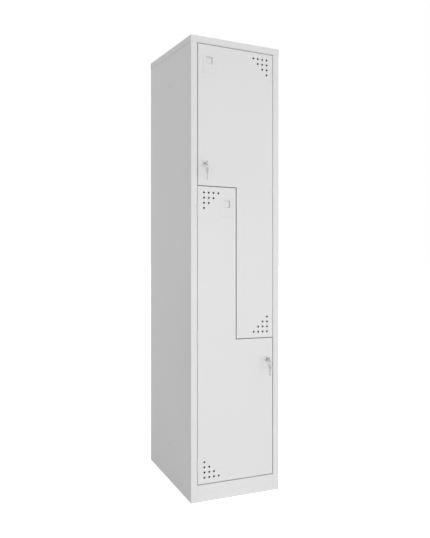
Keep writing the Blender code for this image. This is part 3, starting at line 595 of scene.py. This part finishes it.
def makeSidePanel(side, name):
    outer = side * (cabinet.carcassHalf - halfSheet)
    points = [
        (side * (cabinet.carcassHalf - cabinet.rearFlange), flangeRear - halfSheet),
        (outer, flangeRear - halfSheet),
        (outer, faceY + halfSheet),
        (side * openingHalf, faceY + halfSheet),
    ]
    mesh = folded(points, carcassSheet, "z", 0, cabinet.carcassTop)
    reach = (side * (cabinet.carcassHalf + past), side * (innerHalf - past))
    levels = (joiningHoles.fromEnd, cabinet.height - joiningHoles.fromEnd)
    holes = [prism(circle(joiningHoles.radius, 32, (middleY, level)), "x", *reach) for level in levels]
    addPiece(name, cut(mesh, *holes), ease="carcass")

    # push-in polythene plugs, a little darker than the paint, close the joining holes
    rise, wide, hole = joiningHoles.plugRise, joiningHoles.plugRadius, joiningHoles.radius
    profile = [(hole * 0.55, -0.0042), (hole * 0.86, -0.0040), (hole * 1.02, -0.0028), (hole * 0.9, -0.0012),
               (hole * 0.9, 0.00006), (wide, 0.00006), (wide, rise * 0.35), (wide * 0.96, rise * 0.66),
               (wide * 0.84, rise * 0.88), (wide * 0.6, rise * 0.98), (wide * 0.2, rise)]
    places = [((side * cabinet.carcassHalf, middleY, level), (side, 0, 0)) for level in levels]
    addStuds(name.replace("panel", "hole_plugs"), places, profile, "polythene", sides=28)


def makeDoorStop(side, name):
    # a strip welded behind the stile: flange, return along the opening's edge, and stop lip
    seat = faceY + carcassSheet + gap + halfSheet
    opening = side * (openingHalf + halfSheet)
    points = [
        (side * (openingHalf + cabinet.stopFlange), seat),
        (opening, seat),
        (opening, stopY + halfSheet),
        (side * (openingHalf - cabinet.stopLip), stopY + halfSheet),
    ]
    addPiece(name, folded(points, carcassSheet, "z", 0, cabinet.carcassTop), ease="carcass")


def makeBackAndCap():
    low = (-cabinet.carcassHalf, panelRear - carcassSheet, 0)
    high = (cabinet.carcassHalf, panelRear, cabinet.carcassTop)
    addPiece("back_panel", block(low, high), ease="carcass")
    corners = rectangle((-cabinet.halfWidth, cabinet.front), (cabinet.halfWidth, cabinet.rear))
    mesh = pan(corners, carcassSheet, cabinet.capSkirt, 0, "z", cabinet.height, -1)
    addPiece("top_cap", mesh, ease="cap", segments=3)


def makeCrossRail(name, far, edge, direction):
    # the top rail and the plinth: flange, web, return to the stop plane and stop lip
    half = openingHalf - gap
    points = [
        (stopY - gap, far + direction * halfSheet),
        (faceY + halfSheet, far + direction * halfSheet),
        (faceY + halfSheet, edge - direction * halfSheet),
        (stopY + halfSheet, edge - direction * halfSheet),
        (stopY + halfSheet, edge + direction * cabinet.stopLip),
    ]
    mesh = folded(points, carcassSheet, "x", -half, half)
    inner = openingHalf - cabinet.stopLip - gap
    low, high = sorted((edge - direction * past, edge + direction * (cabinet.stopLip + past)))
    notches = []
    for side in (-1, 1):
        left, right = sorted((side * inner, side * (half + past)))
        notches.append(block((left, stopY - gap, low), (right, stopY + cabinet.stopNotch, high)))
    addPiece(name, cut(mesh, *notches), ease="carcass")


def makePartition():
    # the Z inside: floor panel, two half-width shelves and the upright between the legs
    half = cabinet.nose / 2
    trays = {
        "floor_panel": (-innerHalf, innerHalf, cabinet.plinth),
        "upper_shelf": (-innerHalf, half, cabinet.upperSplit + half),
        "lower_shelf": (-half, innerHalf, cabinet.lowerSplit + half),
    }
    for name, (left, right, top) in trays.items():
        corners = rectangle((left, partitionFront), (right, innerRear))
        mesh = pan(corners, carcassSheet, cabinet.nose, cabinet.noseReturn, "z", top, -1)
        addPiece(name, mesh, ease="carcass")

    turnIn = partitionFront + cabinet.noseReturn
    points = [
        (cabinet.dividerFlange, innerRear - halfSheet), (0, innerRear - halfSheet), (0, turnIn),
        (halfSheet - half, turnIn), (halfSheet - half, partitionFront + halfSheet),
        (half - halfSheet, partitionFront + halfSheet), (half - halfSheet, turnIn),
    ]
    bottom = cabinet.lowerSplit + half + gap
    top = cabinet.upperSplit - half - gap
    addPiece("centre_divider", folded(points, carcassSheet, "z", bottom, top), ease="carcass")


fixings = Sizes(
    rivetRadius=0.0032, rivetRise=0.0009, rivetBack=0.012,
    weldRadius=0.0030, weldRise=0.00014, weldPitch=0.118,
    lowestWeld=0.05, weldUnderCap=0.03, weldFromSide=0.035, weldFromMiddle=0.02,
)


def studProfile(radius, rise, rim, shares):
    # a foot sunk into the sheet and a straight rim, then shares of the radius and the rise
    return [(radius, -0.0002), (radius, rim)] + [(radius * wide, rise * tall) for wide, tall in shares]


rivetProfile = studProfile(fixings.rivetRadius, fixings.rivetRise, 0.00012, (
    (0.93, 0.45), (0.74, 0.82), (0.50, 1), (0.40, 0.92), (0.34, 0.55), (0.08, 0.50)))
weldProfile = studProfile(fixings.weldRadius, fixings.weldRise, 0.00001, (
    (0.90, 0.8), (0.80, 1), (0.68, 0.7), (0.52, 0.25), (0.10, 0.2)))


def evenSteps(start, end):
    # places for spot welds, as near to their pitch as fits
    count = max(1, round(abs(end - start) / fixings.weldPitch))
    return [start + (end - start) * i / count for i in range(count + 1)]


def makeFixings():
    # painted blind rivets hold the shelves; spot welds hold the back panel
    upper, lower, outer = cabinet.upperSplit, cabinet.lowerSplit, cabinet.carcassHalf
    rivets = [((side * outer, middleY + fixings.rivetBack, level), (side, 0, 0))
              for side, level in ((-1, upper), (1, lower))]
    addStuds("shelf_rivets", rivets, rivetProfile)
    inset = cabinet.rearFlange / 2
    top = cabinet.height - cabinet.capSkirt - fixings.weldUnderCap
    spots = [(side * (outer - inset), z) for z in evenSteps(fixings.lowestWeld, top) for side in (-1, 1)]
    for z in (upper, lower, cabinet.plinth - inset):
        low = -innerHalf + fixings.weldFromSide if z != lower else fixings.weldFromMiddle
        high = innerHalf - fixings.weldFromSide if z != upper else -fixings.weldFromMiddle
        spots += [(x, z) for x in evenSteps(low, high)]
    addStuds("back_spot_welds", [((x, panelRear, z), (0, 1, 0)) for x, z in spots], weldProfile, sides=16)


for side, hand in ((-1, "left"), (1, "right")):
    makeSidePanel(side, hand + "_side_panel")
    makeDoorStop(side, hand + "_door_stop")
makeBackAndCap()
makeCrossRail("top_rail", cabinet.carcassTop, openingTop, -1)
makeCrossRail("plinth", 0, cabinet.plinth, 1)
makePartition()
makeFixings()
print("cabinet made")


# ---- doors

doorSizes = Sizes(
    hingeGap=0.0026, hingeReveal=0.0020, freeGap=0.003, topGap=0.0020, footGap=0.0032, splitGap=0.004,
    stepGap=0.003, edge=0.016, lip=0.010, notchSpace=0.0006, lockHole=0.0088,
)
vents = Sizes(
    radius=0.004, pitch=0.020, rows=4, depth=0.006, legInset=0.0255, wideInset=0.0274, fromEnd=0.024,
)
holder = Sizes(
    width=0.054, height=0.0765, rise=0.0029, flank=0.0055, corner=0.004,
    footOut=0.0028, footSide=0.0035,
    windowWidth=0.025, windowHeight=0.0275, windowSide=0.0143, windowDrop=0.010,
    windowCorner=0.0012, windowCut=0.006, pocketSheet=0.0008, pocketDepth=0.0018,
    pocketMargin=0.002, card=0.0004, cardMargin=0.0015, cardCorner=0.0015,
)
hingePlaces = ("leg", "middle", "wide")
hingedEdge = openingHalf - doorSizes.hingeGap
freeEdge = openingHalf - doorSizes.freeGap
halfSplit = doorSizes.splitGap / 2
halfStep = doorSizes.stepGap / 2
backY = faceY + doorSheet
doors = {
    "upper": Sizes(side=1, legEnd=cabinet.lowerSplit + halfStep, step=cabinet.upperSplit + halfStep,
                   wideEnd=openingTop - doorSizes.topGap),
    "lower": Sizes(side=-1, legEnd=cabinet.upperSplit - halfStep, step=cabinet.lowerSplit - halfStep,
                   wideEnd=cabinet.plinth + doorSizes.footGap),
}


def middleOf(node):
    return [(low + high) / 2 for low, high in zip(*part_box(node))]


for name, door in doors.items():
    x, y, z = middleOf(name + "_door_card_pocket")
    door.card = (x, z)
    x, y, z = middleOf(name + "_door_lock_housing")
    door.lock = Vector((x, faceY, z))


def pressing(centre, shift, base):
    # the card holder's pressed shape: soft at its foot and crown, and wider on its left and lower flanks
    rings = []
    for share, fixed in [(0, base)] + [(i / 8, None) for i in range(9)]:
        rise = holder.rise * (0.35 * share + 0.65 * share * share * (3 - 2 * share))
        inset = holder.flank * share
        halfWide = holder.width / 2 - inset
        halfHigh = holder.height / 2 - inset
        spread = 1 - share
        outline = softRectangle((centre[0] - halfWide - holder.footSide * spread,
                                 centre[1] - halfHigh - holder.footOut * spread),
                                (centre[0] + halfWide, centre[1] + halfHigh),
                                holder.corner * (1 - 0.5 * share))
        y = faceY + shift - rise if fixed is None else fixed
        rings.append([onPlane("y", point, y) for point in outline])
    return loft(rings)


def makeDoorPanel(name, door):
    side = door.side
    hinged, free, leg = side * (openingHalf - doorSizes.hingeReveal), -side * freeEdge, side * halfSplit
    corners = [(hinged, door.legEnd), (hinged, door.wideEnd), (free, door.wideEnd),
               (free, door.step), (leg, door.step), (leg, door.legEnd)]
    mesh = pan(corners, doorSheet, doorSizes.edge, doorSizes.lip, "y", faceY, 1)
    centre = door.card
    top = centre[1] + holder.height / 2 - holder.windowDrop
    left = centre[0] - holder.width / 2 + holder.windowSide
    window = softRectangle((left, top - holder.windowHeight), (left + holder.windowWidth, top),
                           holder.windowCorner, 4)
    lock = door.lock
    lockHole = circle(doorSizes.lockHole, 48, (lock.x, lock.z))
    steps = [
        ("UNION", pressing(centre, 0, faceY + doorSheet / 2)),
        ("DIFFERENCE", pressing(centre, doorSheet, backY + past)),
        ("DIFFERENCE", prism(window, "y", faceY - holder.windowCut, backY + past)),
        ("DIFFERENCE", prism(lockHole, "y", faceY - past, backY + past)),
    ]
    # the folded edge is set back beside each hinge leaf
    space = doorSizes.notchSpace
    near, far = sorted((side * hingedEdge, side * openingHalf))
    for place in hingePlaces:
        leafLow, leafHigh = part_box(name + "_hinge_" + place + "_door_leaf")
        steps.append(("DIFFERENCE", block((near, faceY - space, leafLow.z - space),
                                          (far, leafHigh.y + space, leafHigh.z + space))))
    mesh = carve(mesh, steps)
    for end, inward, inset in ((door.legEnd, side, vents.legInset), (door.wideEnd, -side, vents.wideInset)):
        corner = (side * (hingedEdge - inset), faceY, end + inward * vents.fromEnd)
        mesh = runTree(mesh, trees["vents"], Corner=corner, Pitch=vents.pitch, Radius=vents.radius,
                       Rows=vents.rows, Sideways=-float(side), Upwards=float(inward), Depth=vents.depth,
                       Material=finishes["paint"])
    addPiece(name + "_panel", mesh, body=name, ease="door")


def makeCardPocket(name, door):
    # an open-topped pocket behind the window with a bare card in it
    halfWide = holder.width / 2 + holder.pocketMargin
    halfHigh = holder.height / 2 + holder.pocketMargin
    low = (door.card[0] - halfWide, door.card[1] - halfHigh)
    high = (door.card[0] + halfWide, door.card[1] + halfHigh)
    sheet = holder.pocketSheet
    front = backY + gap
    plate = front + holder.pocketDepth
    mouth = high[1] - insideBend - 2 * sheet
    mesh = pan(rectangle(low, high), sheet, holder.pocketDepth, 0, "y", plate, -1)
    mesh = cut(mesh, block((low[0] - past, front - past, mouth),
                           (high[0] + past, plate + past, high[1] + past)))
    addPiece(name + "_card_pocket", mesh, body=name, ease="thinSheet")
    inset = sheet + holder.cardMargin
    rear = plate - sheet - gap
    outline = softRectangle((low[0] + inset, low[1] + sheet + insideBend + gap),
                            (high[0] - inset, mouth), holder.cardCorner, 4)
    mesh = prism(outline, "y", rear - holder.card, rear)
    addPiece(name + "_card", mesh, "card", name, "card")


stiffener = Sizes(
    sheet=0.0009, fromLip=0.0144, web=0.024, flange=0.008, depth=0.011, start=0.135, weldFromEnd=0.03,
)


def makeStiffener(name, door):
    # a hat channel along the hinged side, spot-welded to the back of the face
    side = door.side
    middle = stiffener.sheet / 2
    seat = backY + gap + middle
    crown = backY + gap + stiffener.depth - middle
    flange, web = stiffener.flange, stiffener.web
    first = halfSplit + doorSizes.lip + stiffener.fromLip
    xs = [side * (first + inset) for inset in (0, flange, flange + web, 2 * flange + web)]
    points = [(xs[0], seat), (xs[1], seat), (xs[1], crown), (xs[2], crown), (xs[2], seat), (xs[3], seat)]
    start = door.legEnd + side * stiffener.start
    end = door.wideEnd - side * (doorSizes.lip + gap)
    mesh = folded(points, stiffener.sheet, "z", start, end)
    addPiece(name + "_stiffener", mesh, body=name, ease="thinSheet")
    inward = side * stiffener.weldFromEnd
    rows = [((side * (first + inset), seat + middle, z), (0, 1, 0))
            for inset in (flange / 2, 1.5 * flange + web) for z in evenSteps(start + inward, end - inward)]
    addStuds(name + "_spot_welds", rows, weldProfile, body=name, sides=16)


for name, door in doors.items():
    makeDoorPanel(name + "_door", door)
    makeCardPocket(name + "_door", door)
    makeStiffener(name + "_door", door)
    print(name, "door made")


# ---- hinges

hinge = Sizes(
    length=0.057, knuckles=5, pin=0.0011, head=0.0008, clearance=0.00025, between=0.0004,
    depth=0.013, curlSweep=300, curlSteps=26,
)
leafSheet = (doorSizes.hingeGap - 2 * gap - hinge.between) / 2
leafOffset = (hinge.between + leafSheet) / 2
curl = hinge.pin + hinge.clearance + leafSheet / 2
knuckle = curl + leafSheet / 2
hingeY = faceY - knuckle - gap


def hingeLeaf(side, firstSpace, centre):
    # a flat leaf whose front edge curls round the pin, with spaces for the other leaf's knuckles
    start = math.acos(leafOffset / curl)
    path = [Vector((leafOffset, faceY + hinge.depth - hingeY))]
    for step in range(hinge.curlSteps + 1):
        angle = start - math.radians(hinge.curlSweep) * step / hinge.curlSteps
        path.append(Vector((math.cos(angle), math.sin(angle))) * curl)
    outline = [(side * point.x, point.y) for point in sheetSection(path, leafSheet)]
    half = hinge.length / 2
    pitch = hinge.length / hinge.knuckles
    reach = knuckle + past
    spaces = []
    for segment in range(firstSpace, hinge.knuckles, 2):
        low = -half + segment * pitch - (gap / 2 if segment else past)
        high = -half + (segment + 1) * pitch + (gap / 2 if segment + 1 < hinge.knuckles else past)
        spaces.append(block((-reach, -reach, low), (reach, knuckle + gap, high)))
    mesh = cut(prism(outline, "z", -half, half), *spaces)
    mesh.transform(Matrix.Translation(centre))
    return mesh


def makeHinge(name, door, place):
    node = name + "_hinge_" + place
    x, y, z = middleOf(node + "_pin")
    centre = Vector((x, hingeY, z))
    side = door.side
    addPiece(node + "_frame_leaf", hingeLeaf(side, 1, centre), ease="thinSheet")
    addPiece(node + "_door_leaf", hingeLeaf(-side, 0, centre), body=name, ease="thinSheet")
    head, end, rise = knuckle - hinge.clearance, hinge.length / 2 + gap, hinge.head
    dome = [(head * math.sin(math.radians(a)), end + rise * (0.25 + 0.75 * math.cos(math.radians(a))))
            for a in (90, 72, 54, 36, 18, 5)]
    upper = [(hinge.pin, end), (head, end)] + dome
    profile = [(radius, -along) for radius, along in reversed(upper)] + upper
    addPiece(node + "_pin", turned(profile, "z", centre, 28), "zinc")


for name, door in doors.items():
    for place in hingePlaces:
        makeHinge(name + "_door", door, place)
print("hinges made")


# ---- door buffers

def makeBuffer(node):
    # a small rubber stud with a soft crown, pressed into the stop lip
    low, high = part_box(node)
    radius, tall = (high.x - low.x) / 2, high.y - low.y
    x, y, z = middleOf(node)
    profile = [(radius * wide, -tall * down) for wide, down in (
        (0.28, 1), (0.55, 0.975), (0.78, 0.88), (0.90, 0.74), (0.94, 0.5), (0.95, 0.2), (1, 0.12), (1, 0))]
    addPiece(node, turned(profile, "y", (x, high.y, z), 32), "rubber")


for name in doors:
    for place in ("wide", "step"):
        makeBuffer(name + "_door_buffer_" + place)
print("buffers made")


# ---- cam locks

locks = Sizes(
    flange=0.0105, flangeRise=0.0045, flangeRound=0.0018, flangeSlope=0.0011, boreRim=0.0005, body=0.0085,
    threadPitch=0.0011, threadDepth=0.0004, threadSink=0.00005, threadEnd=0.001, threadShort=0.0018,
    nutRise=0.004, nutRadius=0.0125, nutCorner=0.0009, barrel=0.0056, tail=0.0066, chamfer=0.0006,
    faceRim=0.0004, faceGroove=0.00025, keywayWall=0.0045,
    camSpace=0.001, camSheet=0.002, camHub=0.008, camTip=0.012, camReach=0.036, camFlare=0.0012,
    screwHead=0.0038, screwRise=0.0024, screwShank=0.0017, screwDepth=0.003, screwTip=0.0008,
    screwSlot=0.0005,
)
camFront = stopY - faceY + carcassSheet + locks.camSpace
camRear = camFront + locks.camSheet
barrelEnd = camFront - gap
screwEnd = barrelEnd - locks.screwDepth
keywayEnd = screwEnd - locks.keywayWall
keys = Sizes(
    thickness=0.0018, bow=0.011, hole=0.003, holeRim=0.0026, neck=0.009, neckWidth=0.009,
    blade=0.0066, tip=0.003, cut=0.0011, cuts=5, clearance=0.0003, groove=0.0011, reach=0.003,
)


def addAt(name, suffix, mesh, place, finish, body, ease=None, turn=Matrix()):
    # a piece of a lock or a key, made about its own middle and then turned and put in its place
    mesh.transform(Matrix.Translation(place) @ turn)
    addPiece(name + suffix, mesh, finish, name + body, ease)


def makeHousing(name, door):
    # chromed zinc casting: a flange with a rolled shoulder, and a threaded body behind the door
    lock = door.lock
    flange, rise, soft, body = locks.flange, locks.flangeRise, locks.flangeRound, locks.body
    bore = locks.barrel + gap
    angles = [math.radians(a) for a in range(0, 91, 15)]
    shoulder = [(flange - soft + soft * math.sin(a), -rise + soft - soft * math.cos(a)) for a in angles]
    slim = body - locks.threadDepth
    start = doorSheet + gap + locks.nutRise
    end = barrelEnd - gap
    chamfer = locks.chamfer
    profile = [(bore, -rise + chamfer), (bore + locks.boreRim, -rise),
               (flange - soft - locks.flangeSlope, -rise)]
    profile += shoulder + [(flange, -gap), (body, -gap), (body, start), (slim, start + locks.threadDepth),
                           (slim, end - chamfer), (slim - chamfer, end), (bore, end)]
    housing = turned(profile, "y", lock, 64, closed=True)
    turns = (end - start - locks.threadShort) / locks.threadPitch
    thread = coil(slim - locks.threadSink, turns * locks.threadPitch, turns, locks.threadDepth, 36, 6,
                  "chrome")
    foot = lock + Vector((0, end - locks.threadEnd, 0))
    thread.transform(Matrix.Translation(foot) @ Matrix.Rotation(math.pi / 2, 4, "X"))
    addPiece(name + "_door_lock_housing", joinMeshes([housing, thread]), "chrome", name + "_door")

    near = doorSheet + gap
    far = near + locks.nutRise
    wide, corner = locks.nutRadius, locks.nutCorner
    corners = turned([(wide * 0.88, near - 0.0001), (wide * 1.01, near + corner),
                      (wide * 1.01, far - corner), (wide * 0.88, far + 0.0001)], "y")
    hole = turned([(body + 2 * chamfer, near - 0.001), (body + gap, near + chamfer),
                   (body + gap, far - chamfer), (body + 2 * chamfer, far + 0.001)], "y")
    nut = carve(prism(circle(wide, 6), "y", near, far), [("INTERSECT", corners), ("DIFFERENCE", hole)])
    addAt(name, "_door_lock_nut", nut, lock, "zinc", "_door", "nut")


def makeRotor(name, door):
    # the barrel that the key turns, the cam on its square tail, and the screw that holds the cam
    lock = door.lock
    rise, radius, tail = locks.flangeRise, locks.barrel, locks.tail / 2
    head, tall, shank = locks.screwHead, locks.screwRise, locks.screwShank
    groove, rim = -rise + locks.faceGroove, locks.faceRim
    barrel = turned([(radius * 0.70, -rise), (radius * 0.74, groove), (radius * 0.80, groove),
                     (radius * 0.84, -rise), (radius - rim, -rise), (radius, -rise + rim),
                     (radius, barrelEnd)], "y")
    slotX = keys.thickness / 2 + keys.clearance
    slotZ = keys.blade / 2 + keys.clearance
    screwHole = turned([(shank + gap, screwEnd), (shank + gap, camRear + past)], "y", sides=24)
    barrel = carve(barrel, [
        ("UNION", block((-tail, barrelEnd - past, -tail), (tail, camRear - gap, tail))),
        ("DIFFERENCE", block((-slotX, -rise - past, -slotZ), (slotX, keywayEnd, slotZ))),
        ("DIFFERENCE", screwHole),
    ])
    addAt(name, "_door_lock_barrel", barrel, lock, "nickel", "_lock", "barrel")

    hub, tip, reach = locks.camHub, locks.camTip / 2, locks.camReach
    outline = [(hub * math.cos(math.pi * i / 24), hub * math.sin(math.pi * i / 24)) for i in range(25)]
    angles = [math.pi / 2 * i / 8 for i in range(9)]
    nose = [(tip * math.cos(a), -reach + tip * 0.55 - tip * 0.55 * math.sin(a)) for a in angles]
    flank = [(tip, -hub * 1.25), (tip + locks.camFlare, -hub * 0.7)]
    outline += [(-x, z) for x, z in flank[::-1] + nose] + nose[-2::-1] + flank
    seat = tail + gap
    cam = cut(prism(outline, "y", camFront, camRear),
              block((-seat, camFront - past, -seat), (seat, camRear + past, seat)))
    addAt(name, "_door_lock_cam", cam, lock, "zinc", "_lock", "cam")

    base = camRear + gap
    profile = [(shank * 0.6, screwEnd + gap), (shank, screwEnd + locks.screwTip), (shank, base), (head, base),
               (head, base + tall * 0.42)]
    profile += [(head * math.cos(math.radians(a)), base + tall * (0.42 + 0.58 * math.sin(math.radians(a))))
                for a in (20, 40, 60, 75, 86)]
    depth, top = base + tall * 0.45, base + tall + 0.001
    arm, slot = head * 0.62, locks.screwSlot
    screw = cut(turned(profile, "y", sides=32), block((-arm, depth, -slot), (arm, top, slot)),
                block((-slot, depth, -arm), (slot, top, arm)))
    addAt(name, "_door_cam_screw", screw, lock, "zinc", "_lock", "camScrew")


# measured from the key's shoulder, which stops just in front of the barrel
bowCentre = -keys.neck - math.sqrt(keys.bow ** 2 - (keys.neckWidth / 2) ** 2)
holeCentre = bowCentre - keys.bow + keys.holeRim + keys.hole
bladeLength = locks.flangeRise + keywayEnd - 2 * keys.clearance


def keyMesh():
    # a stamped key in the plane x = 0, its blade along +Y, with a milled groove on both faces
    bow, half, neck = keys.bow, keys.blade / 2, keys.neckWidth / 2
    opening = math.asin(neck / bow)
    outline = []
    for step in range(53):
        angle = opening + (math.tau - 2 * opening) * step / 52
        outline.append((bowCentre + bow * math.cos(angle), bow * math.sin(angle)))
    tip = bladeLength - keys.tip
    outline += [(0, -neck), (0, -half), (tip, -half), (bladeLength, -half / 3), (tip, half)]
    pitch = tip / (keys.cuts + 1)
    for index in range(keys.cuts, 0, -1):
        depth = keys.cut * (1 if index % 2 else 2 / 3)
        for along, share in ((1 / 3, 0), (1 / 8, 1), (-1 / 8, 1), (-1 / 3, 0)):
            outline.append(((index + along) * pitch, half - depth * share))
    outline += [(0, half), (0, neck)]
    thick, hole, groove = keys.thickness / 2, keys.hole, keys.groove
    out = keys.reach
    shapes = [prism(circle(hole, 32, (holeCentre, 0)), "x", -out, out)]
    for side in (-1, 1):
        near, far = sorted((side * thick * 0.55, side * out))
        below, above = (0.2, 1.2) if side > 0 else (1.2, 0.2)
        shapes.append(block((near, -0.001, -groove * below), (far, bladeLength + 0.001, groove * above)))
        # the bow's face is coined in a little, inside a plain rim
        dish = turned([(bow * 0.78, side * thick * 0.80), (bow * 0.82, side * out)], "x", (0, bowCentre, 0))
        ring = turned([(hole * 1.55, side * thick * 0.70), (hole * 1.55, side * 0.004)], "x",
                      (0, holeCentre, 0), 32)
        shapes.append(cut(dish, ring))
    return cut(prism(outline, "x", -thick, thick), *shapes)


def makeKeys(name, door):
    shoulder = door.lock + Vector((0, -locks.flangeRise - keys.clearance, 0))
    addAt(name, "_door_key", keyMesh(), shoulder, "nickel", "_key", "key")

    # the spare key hangs bow up, so its blade points down
    low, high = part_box(name + "_door_spare_key")
    place = ((low.x + high.x) / 2, (low.y + high.y) / 2, low.z + bladeLength)
    addAt(name, "_door_spare_key", keyMesh(), place, "nickel", "_spare_key", "key",
          Matrix.Rotation(-math.pi / 2, 4, "X"))

    # a split ring: two flat turns of spring wire
    low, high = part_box(name + "_door_key_ring")
    wire = (high.y - low.y) / 2
    ring = coil((high.x - low.x) / 2 - wire, wire * 1.04, 1.96, wire * 0.52, 64, 12, "zinc")
    addAt(name, "_door_key_ring", ring, (low + high) / 2 + Vector((0, wire * 0.52, 0)), "zinc", "_key_ring",
          turn=Matrix.Rotation(math.pi / 2, 4, "X"))


for name, door in doors.items():
    makeHousing(name, door)
    makeRotor(name, door)
    makeKeys(name, door)
    print(name, "lock and keys made")


# ---- coat hooks

hook = Sizes(
    strip=0.0025, plate=0.030, drop=0.038, throat=0.016, tip=0.016, bend=0.005, rivet=0.007,
)


def makeHook(node):
    # a double hook bent from one zinc-plated strip and held up by two rivets
    low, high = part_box(node)
    x, y, z = middleOf(node)
    middle = hook.strip / 2
    plate = hook.plate / 2
    prong = plate + hook.throat
    top = high.z - middle
    bottom = top - hook.drop
    half = [(prong, bottom + hook.tip), (prong, bottom), (plate, bottom), (plate, top)]
    points = [(x + px, pz) for px, pz in half] + [(x - px, pz) for px, pz in reversed(half)]
    mesh = folded(points, hook.strip, "y", low.y, high.y, hook.bend, 8)
    addPiece(node, mesh, "zinc", ease="hook", segments=3)
    places = [((x + side * hook.rivet, y, top - middle), (0, 0, -1)) for side in (-1, 1)]
    addStuds(node + "_rivets", places, rivetProfile, "zinc")


for name in doors:
    makeHook(name + "_coat_hook")
print("coat hooks made")


# ---- view settings

scene.view_settings.view_transform = "Standard"
